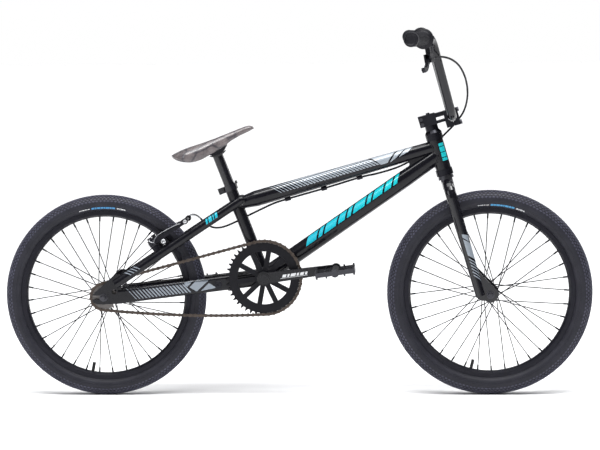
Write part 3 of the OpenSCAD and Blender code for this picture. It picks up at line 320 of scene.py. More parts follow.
NODE_LOOK = {
    "frame": ["head_tube", "top_tube", "down_tube", "seat_tube", "bb_shell", "chainstay_right",
              "chainstay_left", "seatstay_right", "seatstay_left", "rear_dropouts", "frame_gussets"],
    "fork": ["fork_legs", "fork_dropouts"],
    "bar": ["handlebar"],
    "arm": ["crank_arms", "crank_spindle"],
    "post": ["seat_post", "seat_clamp"],
    "alloy": ["frame_fittings", "stem_body", "stem_faceplate", "lever_body", "brake_lever",
              "front_hub", "rear_hub", "brake_arm_right", "brake_arm_left"],
    "cup": ["bearing_cups", "headset_spacers"],
    "rim": ["front_rim", "rear_rim"],
    "ring": ["chainring"],
    "bolt": ["fork_steerer", "stem_bolts", "rear_axle", "front_axle", "pedal_right", "pedal_left"],
    "spoke": ["front_spokes", "rear_spokes"],
    "silver": ["frame_bearings", "front_bearings", "rear_bearings", "pedal_spindles", "brake_noodle"],
    "wire": ["brake_wire"],
    "chain": ["chain"],
    "cog": ["rear_cog"],
    "grip": ["grips"],
    "cable": ["cable_frame", "cable_cross", "cable_lever"],
    "pad": ["brake_pad_right", "brake_pad_left"],
    "tube": ["front_inner_tube", "rear_inner_tube"],
    "tyre": ["front_tyre", "rear_tyre"],
    "smoke": ["saddle"],
    "base": ["saddle_base"],
}
for look, nodes in NODE_LOOK.items():
    for n in nodes:
        o = frame["nodes"][n]
        if not o.material_slots:
            o.data.materials.append(M[look])
        for s in o.material_slots:
            s.link = "OBJECT"
            s.material = M[look]


# ---------------------------------------------------------------- mesh helpers
def add(name, verts, faces, mat, body, smooth=True, replaces=(), mats=None, index=None):
    me = bpy.data.meshes.new(name)
    me.from_pydata([tuple(v) for v in verts], [], faces)
    me.validate()
    me.materials.append(mat)
    for m in mats or ():
        me.materials.append(m)
    if index:
        me.polygons.foreach_set("material_index", index)
    me.polygons.foreach_set("use_smooth", [smooth] * len(me.polygons))
    me.update()
    o = bpy.data.objects.new(name, me)
    bpy.context.scene.collection.objects.link(o)
    if body:
        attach(o, body)
    if replaces:
        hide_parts(*replaces)
    return o


def subdivide(o, levels=1):
    m = o.modifiers.new("subdivide", "SUBSURF")
    m.levels = m.render_levels = levels
    return o


def frames(pts, closed=False):
    """Tangent and two normals at each point of a line, turning as little as possible."""
    n = len(pts)
    tang = []
    for i in range(n):
        a = pts[(i - 1) % n] if closed else pts[max(i - 1, 0)]
        b = pts[(i + 1) % n] if closed else pts[min(i + 1, n - 1)]
        tang.append((b - a).normalized())
    ref = Y if abs(tang[0].dot(Y)) < 0.9 else X
    u = tang[0].cross(ref).normalized()
    out = []
    for t in tang:
        u = (u - t * u.dot(t)).normalized()
        out.append((t, u, t.cross(u)))
    return out


def sweep(pts, radius, sides=16, closed=False):
    """Vertices and faces of a round rod along pts. radius may be a list, one for each point."""
    fr = frames(pts, closed)
    verts, faces = [], []
    n = len(pts)
    for i, (p, (t, u, w)) in enumerate(zip(pts, fr)):
        r = radius[i] if isinstance(radius, (list, tuple)) else radius
        for k in range(sides):
            a = 2 * math.pi * k / sides
            verts.append(p + r * (math.cos(a) * u + math.sin(a) * w))
    for i in range(n if closed else n - 1):
        for k in range(sides):
            j, k2 = (i + 1) % n, (k + 1) % sides
            faces.append((i * sides + k, i * sides + k2, j * sides + k2, j * sides + k))
    if not closed:
        faces.append(tuple(range(sides))[::-1])
        faces.append(tuple((n - 1) * sides + k for k in range(sides)))
    return verts, faces


def merge(parts):
    verts, faces = [], []
    for v, f in parts:
        base = len(verts)
        verts += v
        faces += [tuple(i + base for i in face) for face in f]
    return verts, faces


def smooth_line(points, steps=8):
    """Catmull-Rom curve through the points."""
    out = []
    n = len(points)
    for i in range(n - 1):
        a, b, c, d = points[max(i - 1, 0)], points[i], points[i + 1], points[min(i + 2, n - 1)]
        for k in range(steps):
            t = k / steps
            out.append(0.5 * (2 * b + (c - a) * t + (2 * a - 5 * b + 4 * c - d) * t * t
                              + (3 * b - a - 3 * c + d) * t ** 3))
    out.append(points[-1])
    return out


def revolve(profile, centre, axis, start, segs=96, closed=True):
    """Turns a profile of (radius, distance along axis) round an axis."""
    axis = axis.normalized()
    u = (start - axis * start.dot(axis)).normalized()
    w = axis.cross(u)
    verts, faces = [], []
    n = len(profile)
    for i in range(segs):
        a = 2 * math.pi * i / segs
        d = math.cos(a) * u + math.sin(a) * w
        for r, h in profile:
            verts.append(centre + d * r + axis * h)
    for i in range(segs):
        i2 = (i + 1) % segs
        for k in range(n if closed else n - 1):
            k2 = (k + 1) % n
            faces.append((i * n + k, i * n + k2, i2 * n + k2, i2 * n + k))
    return verts, faces


def lathe(name, profile, centre, axis, mat, body, segs=96, replaces=(), closed=True):
    v, f = revolve(profile, centre, axis, X if abs(axis.dot(X)) < 0.9 else Z, segs, closed)
    return add(name, v, f, mat, body, True, replaces)


def curve_mesh(name, points, radius, mat, body, steps=8, sides=14, replaces=()):
    pts = smooth_line([Vector(p) * MM for p in points], steps)
    v, f = sweep(pts, radius, sides)
    return add(name, v, f, mat, body, True, replaces)


# ---------------------------------------------------------------- tyres
# a stud is a foot of four corners with a smaller top of four above it
STUD_FACES = [(4, 5, 6, 7)] + [(k, (k + 1) % 4, 4 + (k + 1) % 4, 4 + k) for k in range(4)]
TREAD_STEPS = 13


def tyre(name, centre, outer, node, body):
    """Casing, bead and studs of one tyre; the studs take a lighter copy of the rubber as a painted highlight,
    and the casing under them a darker copy as painted shade between the studs.
    """
    section = (outer - 0.200) / 2
    mid = outer - section
    skin = section - 0.0016
    side = []
    for i in range(0, 29):
        a = math.radians(i * 5)
        side.append((mid + skin * math.cos(a), skin * math.sin(a)))
    side += [(0.2063, 0.0128), (0.2060, 0.0116), (0.2012, 0.0116)]
    back = [(0.2012, 0.0095), (0.2088, 0.0094), (mid, section - 0.0045)]
    half = side + back
    profile = half + [(r, -h) for r, h in reversed(half[:-1])]
    v, f = revolve(profile, centre, Y, Z, 240)
    parts = [(v, f)]
    count, rows = 160, 11
    spread = math.radians(134)
    for j in range(rows):
        a = -spread / 2 + spread * j / (rows - 1)
        near_edge = abs(a) / (spread / 2)
        for i in range(count):
            th = 2 * math.pi * (i + 0.5 * (j % 2)) / count
            rad = Vector((math.sin(th), 0, math.cos(th)))
            run = Vector((math.cos(th), 0, -math.sin(th)))
            out = rad * math.cos(a) + Y * math.sin(a)
            across = -rad * math.sin(a) + Y * math.cos(a)
            foot = centre + rad * mid + out * (skin - 0.0004)
            high = 0.0020 * (1 - 0.3 * near_edge ** 3)
            lx = 0.0043 * (mid + skin * math.cos(a)) / outer
            ly = 0.0026
            ring = []
            for q, h in ((1.12, 0.0), (0.74, high)):
                for sx, sy in ((1, 0), (0, 1), (-1, 0), (0, -1)):
                    ring.append(foot + run * sx * lx * q + across * sy * ly * q + out * h)
            parts.append((ring, STUD_FACES))
    v, f = merge(parts)
    plain = len(parts[0][1])
    n = len(profile)
    # studs get the painted highlight copy of the rubber, the casing under the studs the painted shade copy
    index = [1 if i >= plain else 2 if min(i % n, n - 1 - i % n) < TREAD_STEPS else 0 for i in range(len(f))]
    o = add(name, v, f, M["tyre"], body, True, (node,), (M["tread_highlight"], M["groove_shade"]), index)
    o.data.polygons.foreach_set("use_smooth", [i < plain for i in range(len(o.data.polygons))])
    # moulded rings on the side wall
    for s in (-1, 1):
        for r, w in ((0.2087, 0.0006), (0.2182, 0.0005)):
            ang = math.acos(max(-1, min(1, (r - mid) / skin)))
            y = s * skin * math.sin(ang)
            ring = [centre + Vector((r * math.sin(t), y, r * math.cos(t)))
                    for t in (2 * math.pi * k / 180 for k in range(180))]
            vv, ff = sweep(ring, w, 6, True)
            tag = f"{'r' if s < 0 else 'l'}_{int(r * 10000)}"
            add(f"{name}_ring_{tag}", vv, ff, M["tyre"], body)
    return mid, skin


def tyre_marks(name, centre, mid, skin, body, spans):
    """Short printed bars low on the side wall, near the rim, at the top of the tyre on both sides."""
    for s in (-1, 1):
        for n, (a0, a1, r0, r1, mat) in enumerate(spans):
            verts, faces = [], []
            steps = 8
            for i in range(steps + 1):
                t = math.radians(a0 + (a1 - a0) * i / steps) * (1 if s < 0 else -1)
                for r in (r0, (r0 + r1) / 2, r1):
                    ang = math.acos(max(-1, min(1, (r - mid) / skin)))
                    rr = r + 0.00025 * math.cos(ang)
                    y = s * (skin * math.sin(ang) + 0.00025)
                    verts.append(centre + Vector((rr * math.sin(t), y, rr * math.cos(t))))
            for i in range(steps):
                for k in range(2):
                    faces.append((i * 3 + k, i * 3 + 3 + k, i * 3 + 4 + k, i * 3 + 1 + k))
            add(f"{name}_mark_{'r' if s < 0 else 'l'}_{n}", verts, faces, M[mat], body)


FRONT_R = FRONT.z
REAR_R = REAR.z
fm, fs = tyre("front_tyre_detailed", FRONT, FRONT_R, "front_tyre", "front_wheel")
rm, rs = tyre("rear_tyre_detailed", REAR, REAR_R, "rear_tyre", "rear_wheel")


def marks(start, pattern):
    """Bars with small gaps: pattern gives (material, low, high, widths) from an angle on."""
    out, at = [], start
    for mat, lo, hi, widths in pattern:
        for w in widths:
            out.append((at, at + w, lo, hi, mat))
            at += w + 0.32
        at += 0.9
    return out


WORDS = [("white", 0.2124, 0.2144, (1.0, 0.5, 1.4, 0.9, 0.5, 1.2)),
         ("blue", 0.2114, 0.2156, (1.8, 1.2, 2.2, 1.5, 0.9, 2.3, 1.3, 1.9)),
         ("white", 0.2119, 0.2150, (1.3, 0.7, 1.7, 1.0))]
tyre_marks("front_tyre", FRONT, fm, fs, "front_wheel", marks(-7.8, WORDS))
tyre_marks("rear_tyre", REAR, rm, rs, "rear_wheel", marks(-16.8, WORDS))


# ---------------------------------------------------------------- cables
CABLE_R = 0.0024
LEVER_ROUTE = [(322, -170, 815), (336, -159, 819), (353, -149, 818), (371, -131, 811), (388, -106, 796),
               (401, -76, 772), (408, -45, 745), (409, -14, 718), (405, 12, 695), (397, 31, 676),
               (385, 37, 660), (372, 36, 645)]
CROSS_ROUTE = [(372, 36, 645), (358, 33, 631), (343, 30, 617), (325, 28, 601), (300, 26, 583),
               (272, 21, 565), (242, 13, 551), (213, 6, 542), (186, 3, 535)]
FRAME_ROUTE = [(186, 3, 535), (150, 3, 527), (64, 3, 501), (-24, 3, 476), (-58, 5, 465), (-92, 12, 449),
               (-118, 19, 436), (-150, 20, 420), (-180, 14, 408), (-200, 9, 406), (-214, 8, 410),
               (-226, 11, 418), (-236, 20, 426)]
curve_mesh("cable_at_bars", LEVER_ROUTE, CABLE_R, M["cable"], "steering",
           replaces=("cable_lever",))
cross = curve_mesh("cable_across", CROSS_ROUTE, CABLE_R, M["cable"], None, 10)
tuple(c * MM for c in CROSS_ROUTE[0])
tuple(c * MM for c in CROSS_ROUTE[-1])
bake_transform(cross)
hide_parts("cable_cross")
curve_mesh("cable_on_frame", FRAME_ROUTE[:7], CABLE_R, M["cable"], "frame",
           replaces=("cable_frame",))
to_brake = curve_mesh("cable_to_brake", FRAME_ROUTE[6:], CABLE_R, M["cable"], None)
tuple(c * MM for c in FRAME_ROUTE[6])
tuple(c * MM for c in FRAME_ROUTE[-1])
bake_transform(to_brake)
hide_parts("cable_frame")


def brake_wire():
    """Bare wire between the two arms, made as two halves that meet in the middle."""
    lo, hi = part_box("brake_wire")
    x, z, mid = (lo[0] + hi[0]) / 2, (lo[2] + hi[2]) / 2, (lo[1] + hi[1]) / 2
    for end, tag, body in ((lo[1], "right", "brake_r"), (hi[1], "left", "brake_l")):
        line = [(x / MM, (mid + (end - mid) * k / 4) / MM, z / MM) for k in range(5)]
        wire = curve_mesh(f"brake_wire_{tag}", line, 0.0009, M["wire"], None, 3, 10)
        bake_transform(wire)
        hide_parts("brake_wire")


brake_wire()


# ---------------------------------------------------------------- grips
def grips():
    lo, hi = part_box("grips")
    a = math.radians(13)
    end_r = 0.0172
    for s, tag in ((-1, "right"), (1, "left")):
        axis = Vector((-math.sin(a), s * math.cos(a), 0))
        end = Vector((lo[0] + end_r * math.cos(a), s * (hi[1] - end_r * math.sin(a)), (lo[2] + hi[2]) / 2))
        n = 17
        pts = [(0.0112, -0.1358), (0.0226, -0.1360), (0.0238, -0.1352), (0.0240, -0.1340), (0.0236, -0.1326),
               (0.0205, -0.1318), (0.0176, -0.1306), (0.0166, -0.1290)]
        for i in range(n):
            h = -0.1260 + i * 0.0068
            pts += [(0.0151, h - 0.0023), (0.0151, h - 0.0008), (0.0163, h + 0.0002), (0.0163, h + 0.0028)]
        pts += [(0.0154, -0.0125), (0.0160, -0.0100), (0.0172, -0.0086), (0.0173, -0.0030), (0.0169, -0.0008),
                (0.0158, 0.0), (0.0134, 0.0), (0.0128, -0.0006), (0.0124, -0.0022), (0.0070, -0.0024),
                (0.0002, -0.0024)]
        pts = [(r, max(h, -0.136)) for r, h in pts]
        v, f = revolve(pts, end, axis, Z, 96, False)
        add(f"grip_{tag}", v, f, M["grip"], "steering", True, ("grips",))
        # rows of small pads over the middle of the grip
        parts = []
        u = axis.cross(Z).normalized()
        w = axis.cross(u)
        for i in range(n - 1):
            h = -0.1260 + i * 0.0068 + 0.0015
            for k in range(26):
                t = 2 * math.pi * (k + 0.5 * (i % 2)) / 26
                d = math.cos(t) * u + math.sin(t) * w
                e = axis.cross(d)
                c = end + axis * h + d * 0.0162
                ring = []
                for q, lift in ((1.0, 0.0), (0.72, 0.0007)):
                    for sx, sy in ((-1, -1), (1, -1), (1, 1), (-1, 1)):
                        ring.append(c + e * 0.0013 * sx * q + axis * 0.0012 * sy * q + d * lift)
                parts.append((ring, STUD_FACES))
        v, f = merge(parts)
        add(f"grip_pads_{tag}", v, f, M["grip"], "steering", False)


grips()


# ---------------------------------------------------------------- saddle
def interp(table, x):
    for (x0, y0), (x1, y1) in zip(table, table[1:]):
        if x <= x1:
            t = max(0.0, min(1.0, (x - x0) / (x1 - x0)))
            return y0 + (y1 - y0) * t
    return table[-1][1]


def soft(table, x, r=5.0):
    return sum(interp(table, x + d * r) for d in (-1, -0.5, 0, 0.5, 1)) / 5


SADDLE_TOP = [(-102.5, -31), (-95, -26), (-80, -18.5), (-55, -8.5), (-28, 1), (0, 10.5), (30, 21), (60, 32.5),
              (78, 39), (88, 40.5), (94, 38.5), (97, 34.5)]
SADDLE_EDGE = [(-102.5, -33.5), (-96, -37.5), (-84, -42), (-70, -45), (-55, -46), (-40, -44), (-23, -38),
               (-8, -29), (10, -19), (27, -9.5), (39, 2), (64, 16.5), (80, 24), (89, 28.5), (97, 33)]
SADDLE_HALF = [(-102.5, 4), (-99, 22), (-93, 37), (-84, 48), (-70, 56), (-55, 58), (-38, 54), (-20, 45),
               (0, 34), (20, 25.5), (40, 20), (60, 17), (75, 15), (86, 12), (93, 8), (97, 2)]


def saddle():
    stations, across = 60, 16
    verts, faces = [], []
    ring_n = None
    for i in range(stations + 1):
        u = 0.5 - 0.5 * math.cos(math.pi * i / stations)
        x = -102.5 + u * 199.5
        end = min(1.0, 8 * u, 8 * (1 - u))
        top, edge, half = soft(SADDLE_TOP, x, 4), soft(SADDLE_EDGE, x, 4), soft(SADDLE_HALF, x, 3)
        if u < 0.02 or u > 0.98:
            top, edge, half = interp(SADDLE_TOP, x), interp(SADDLE_EDGE, x), interp(SADDLE_HALF, x)
        edge = min(edge, top - 1.5)
        thick = 1.2 + 3.4 * end
        dish = 2.2 * math.exp(-((x + 20) / 45) ** 2)
        ring = []
        for k in range(-across, across + 1):
            th = math.pi / 2 * k / across
            y = half * math.copysign(abs(math.sin(th)) ** 0.86, th)
            z = edge + (top - edge) * max(0.0, math.cos(th)) ** 0.5
            z -= dish * max(0.0, 1 - (y / (0.6 * half)) ** 2) if abs(y) < 0.6 * half else 0
            ring.append((y, z))
        inner = []
        for k in range(across, -across - 1, -1):
            th = math.pi / 2 * k / across
            y = max(0.2, half - thick) * math.copysign(abs(math.sin(th)) ** 0.86, th)
            low = edge + 0.4
            z = low + max(0.3, top - thick - 1 - low) * max(0.0, math.cos(th)) ** 0.5
            inner.append((y, min(z, top - 1.0)))
        loop = ring + inner
        ring_n = len(loop)
        for y, z in loop:
            verts.append(TILT + Vector((x, y, z)) * MM)
    for i in range(stations):
        for k in range(ring_n):
            k2 = (k + 1) % ring_n
            faces.append((i * ring_n + k, (i + 1) * ring_n + k, (i + 1) * ring_n + k2, i * ring_n + k2))
    faces.append(tuple(range(ring_n)))
    faces.append(tuple(stations * ring_n + k for k in range(ring_n))[::-1])
    o = add("saddle_shell", verts, faces, M["smoke"], "seat", True, ("saddle",))
    subdivide(o, 1)
    # curved rocker under the saddle, with ribs that rise into the shell
    parts = []
    lean = math.radians(21)
    fx, fz = Vector((math.cos(lean), 0, math.sin(lean))), Vector((-math.sin(lean), 0, math.cos(lean)))
    arc = []
    for k in range(15):
        t = math.radians(-58 + 116 * k / 14)
        arc.append((math.sin(t), -math.cos(t)))

    def plate(half_y, r_out, r_in, pts):
        vs, fs = [], []
        for sx, cz in pts:
            for r in (r_out, r_in):
                for y in (-half_y, half_y):
                    vs.append(TILT + (fx * sx + fz * cz) * r + Y * y)
        for i in range(len(pts) - 1):
            a = i * 4
            fs += [(a, a + 4, a + 5, a + 1), (a + 2, a + 3, a + 7, a + 6), (a, a + 2, a + 6, a + 4),
                   (a + 1, a + 5, a + 7, a + 3)]
        fs += [(0, 1, 3, 2), (len(vs) - 4, len(vs) - 2, len(vs) - 1, len(vs) - 3)]
        return vs, fs

    parts.append(plate(0.0150, 0.0312, 0.0275, arc))
    parts.append(plate(0.0165, 0.0320, 0.0298, arc[:2]))
    parts.append(plate(0.0165, 0.0320, 0.0298, arc[-2:]))
    for y in (-0.0135, -0.0068, 0.0, 0.0068, 0.0135):
        vs, fs = [], []
        for sx, cz in arc:
            p = TILT + (fx * sx + fz * cz) * 0.0290
            dx = (p - TILT).x / MM
            under = TILT.z + (soft(SADDLE_TOP, dx, 4) - 9.0 - 20 * (y / 0.058) ** 2) * MM
            for zz in (p.z, max(p.z + 0.001, under)):
                for t in (-0.0009, 0.0009):
                    vs.append(Vector((p.x, y + t, zz)))
        for i in range(len(arc) - 1):
            a = i * 4
            fs += [(a, a + 4, a + 6, a + 2), (a + 1, a + 3, a + 7, a + 5), (a + 2, a + 6, a + 7, a + 3),
                   (a, a + 1, a + 5, a + 4)]
        fs += [(0, 2, 3, 1), (len(vs) - 4, len(vs) - 3, len(vs) - 1, len(vs) - 2)]
        parts.append((vs, fs))
    v, f = merge(parts)
    add("saddle_rocker", v, f, M["base"], "seat", False, ("saddle_base",))


saddle()


# ---------------------------------------------------------------- weld beads
def meet(p, d, r, q, e, big, near, n=88):
    """Closed line where the round tube at p along d meets the round tube at q along e."""
    d, e = d.normalized(), e.normalized()
    u = d.cross(Y).normalized() if abs(d.dot(Y)) < 0.9 else d.cross(X).normalized()
    w = d.cross(u)
    out = []
    for k in range(n):
        t = 2 * math.pi * k / n
        s = p + r * (math.cos(t) * u + math.sin(t) * w) - q
        s1, d1 = s - e * s.dot(e), d - e * d.dot(e)
        a, b, c = d1.dot(d1), 2 * s1.dot(d1), s1.dot(s1) - big * big
        root = math.sqrt(max(0.0, b * b - 4 * a * c))
        roots = [(-b - root) / (2 * a), (-b + root) / (2 * a)]
        pick = min(roots, key=lambda v: (s + q + d * v - near).length)
        out.append(s + q + d * pick)
    return out


def bead(name, line, body="frame", size=0.0023, look="frame", pitch=0.0024):
    """A rippled weld bead along a closed line."""
    dense = []
    n = len(line)
    for i in range(n):
        a, b = line[i], line[(i + 1) % n]
        steps = max(1, int((b - a).length / (pitch / 4)))
        for k in range(steps):
            dense.append(a + (b - a) * k / steps)
    radii = []
    run = 0.0
    for i, p in enumerate(dense):
        radii.append(size * (0.86 + 0.16 * abs(math.sin(math.pi * run / pitch))))
        run += (dense[(i + 1) % len(dense)] - p).length
    v, f = sweep(dense, radii, 8, True)
    add(name, v, f, M[look], body)


TOP_FROM = BB + 0.1875 * SEAT_UP
TOP_TO = HEAD + 0.081 * UP
DOWN_TO = HEAD + 0.060 * UP
TOP_DIR = (TOP_TO - TOP_FROM).normalized()
DOWN_DIR = (DOWN_TO - BB).normalized()


def welds():
    bead("weld_top_head", meet(TOP_TO, TOP_DIR, 0.0155, HEAD, UP, 0.0185, TOP_TO - TOP_DIR * 0.02))
    bead("weld_down_head", meet(DOWN_TO, DOWN_DIR, 0.0181, HEAD, UP, 0.0185, DOWN_TO - DOWN_DIR * 0.02))
    bead("weld_down_shell", meet(BB, DOWN_DIR, 0.0205, BB, Y, 0.0206, BB + DOWN_DIR * 0.02))
    bead("weld_seat_shell", meet(BB, SEAT_UP, 0.0145, BB, Y, 0.0206, BB + SEAT_UP * 0.02))
    bead("weld_top_seat", meet(TOP_FROM, TOP_DIR, 0.0146, BB, SEAT_UP, 0.0146, TOP_FROM + TOP_DIR * 0.01),
         size=0.002)


welds()


# ---------------------------------------------------------------- small hardware
def disc(name, at, axis, r, high, mat, body, rim=0.0008, hole=0.0, segs=40):
    """Round head or cap standing on a face, with a softened edge and perhaps a socket."""
    pts = [(0.0001, 0.0), (r, 0.0), (r, high - rim), (r - rim, high)]
    pts += [(hole, high), (hole * 0.92, high * 0.35), (0.0001, high * 0.35)] if hole else [(0.0001, high)]
    return lathe(name, pts, at, axis, M[mat], body, segs)


def brake_detail():
    base = Vector((BB.x - 0.3585, 0, BB.z - 0.013))

    def at(t, y, n):
        return base + STAY_DIR * t * MM + Y * y * MM + STAY_OUT * n * MM
    for s, tag, body in ((-1, "right", "brake_r"), (1, "left", "brake_l")):
        disc(f"post_bolt_{tag}", at(128, s * 44, 43.1), STAY_OUT, 0.0058, 0.0042, "bolt", "frame", hole=0.0026)
        disc(f"arm_bolt_{tag}", at(224, s * 50.2, 33), Y * s, 0.0046, 0.0035, "silver", body, hole=0.0020)
        disc(f"pad_bolt_{tag}", at(155, s * 56.1, 22), Y * s, 0.0058, 0.0036, "silver", body, hole=0.0026)
        wire = [(132, 45, 44.5), (126, 53, 40), (133, 56, 33), (140, 53, 38), (152, 51.6, 42), (176, 51.0, 41),
                (198, 50.6, 38.5), (212, 50.6, 35)]
        pts = smooth_line([at(t, s * y, n) for t, y, n in wire], 7)
        v, f = sweep(pts, 0.0009, 8)
        add(f"return_spring_{tag}", v, f, M["wire"], body)
        ring = []
        for k in range(70):
            a = 2 * math.pi * k / 14
            ring.append(at(128, s * 44, 24 + 13 * k / 69) + (STAY_DIR * math.cos(a) + Y * math.sin(a)) * 0.0097)
        v, f = sweep(ring, 0.0008, 6)
        add(f"spring_coil_{tag}", v, f, M["bolt"], body)


def hardware():
    for s, tag in ((-1, "right"), (1, "left")):
        disc(f"front_nut_cap_{tag}", FRONT + Y * s * 0.0617, Y * s, 0.0074, 0.0010, "bolt", "steering",
             0.0005, 0.0047)
        disc(f"rear_nut_cap_{tag}", REAR + Y * s * 0.0677, Y * s, 0.0074, 0.0010, "bolt", "frame",
             0.0005, 0.0047)
        disc(f"bridge_cap_{tag}", BB + Vector((-112, s * 39.05, -17)) * MM, Y * s, 0.0098, 0.0024,
             "base", "frame", 0.0012, 0.0026)
    # pin heads on the outer links of the chain
    me = frame["nodes"]["chain"].data
    mw = frame["nodes"]["chain"].matrix_world
    parent = list(range(len(me.vertices)))

    def root(i):
        while parent[i] != i:
            parent[i] = parent[parent[i]]
            i = parent[i]
        return i
    for e in me.edges:
        a, b = root(e.vertices[0]), root(e.vertices[1])
        if a != b:
            parent[a] = b
    groups = {}
    for v in me.vertices:
        groups.setdefault(root(v.index), []).append(mw @ v.co)
    parts = []
    for pts in groups.values():
        lo = Vector((min(p.x for p in pts), min(p.y for p in pts), min(p.z for p in pts)))
        hi = Vector((max(p.x for p in pts), max(p.y for p in pts), max(p.z for p in pts)))
        c = (lo + hi) / 2
        far = max(pts, key=lambda p: (p.x - c.x) ** 2 + (p.z - c.z) ** 2)
        run = Vector((far.x - c.x, 0, far.z - c.z))
        if run.length < 0.008 or hi.y - lo.y < 0.0066:
            continue
        run.normalize()
        for y, axis in ((lo.y, -Y), (hi.y, Y)):
            for q in (-1, 1):
                at = Vector((c.x, y, c.z)) + run * q * 0.00635
                parts.append(revolve([(0.0001, -0.0002), (0.0025, -0.0002), (0.0025, 0.0002), (0.0018, 0.0005),
                                      (0.0001, 0.0005)], at, axis, X, 14, False))
    if parts:
        v, f = merge(parts)
        add("chain_pin_heads", v, f, M["pin"], "frame")


brake_detail()
hardware()


# ---------------------------------------------------------------- printed graphics
def print_quads(name, quads, where, mat, body, nu=10, nv=6):
    """Thin printed film: each quad is four (u, v) corners, laid on the part by where(u, v)."""
    verts, faces = [], []
    for q in quads:
        base = len(verts)
        for i in range(nu + 1):
            for j in range(nv + 1):
                s, t = i / nu, j / nv
                u = (q[0][0] * (1 - s) + q[1][0] * s) * (1 - t) + (q[3][0] * (1 - s) + q[2][0] * s) * t
                v = (q[0][1] * (1 - s) + q[1][1] * s) * (1 - t) + (q[3][1] * (1 - s) + q[2][1] * s) * t
                verts.append(where(u, v))
        for i in range(nu):
            for j in range(nv):
                a = base + i * (nv + 1) + j
                faces.append((a, a + nv + 1, a + nv + 2, a + 1))
    return add(name, verts, faces, M[mat], body)


def on_tube(p, d, r0, r1, length, side, lift=0.00018):
    """u runs along the tube in mm from p, v round it in degrees: 0 faces the side, 90 is up."""
    d = d.normalized()
    up = (Z - d * Z.dot(d)).normalized()
    out = Y * side
    out = (out - d * out.dot(d)).normalized()

    def where(u, v):
        a = math.radians(v)
        r = r0 + (r1 - r0) * (u * MM / length) + lift
        return p + d * u * MM + (out * math.cos(a) + up * math.sin(a)) * r
    return where


def slanted(u0, u1, v0, v1, lean):
    """A leaning block: lower edge at v0, upper edge at v1, the top shifted by lean."""
    return [(u0, v0), (u1, v0), (u1 + lean, v1), (u0 + lean, v1)]


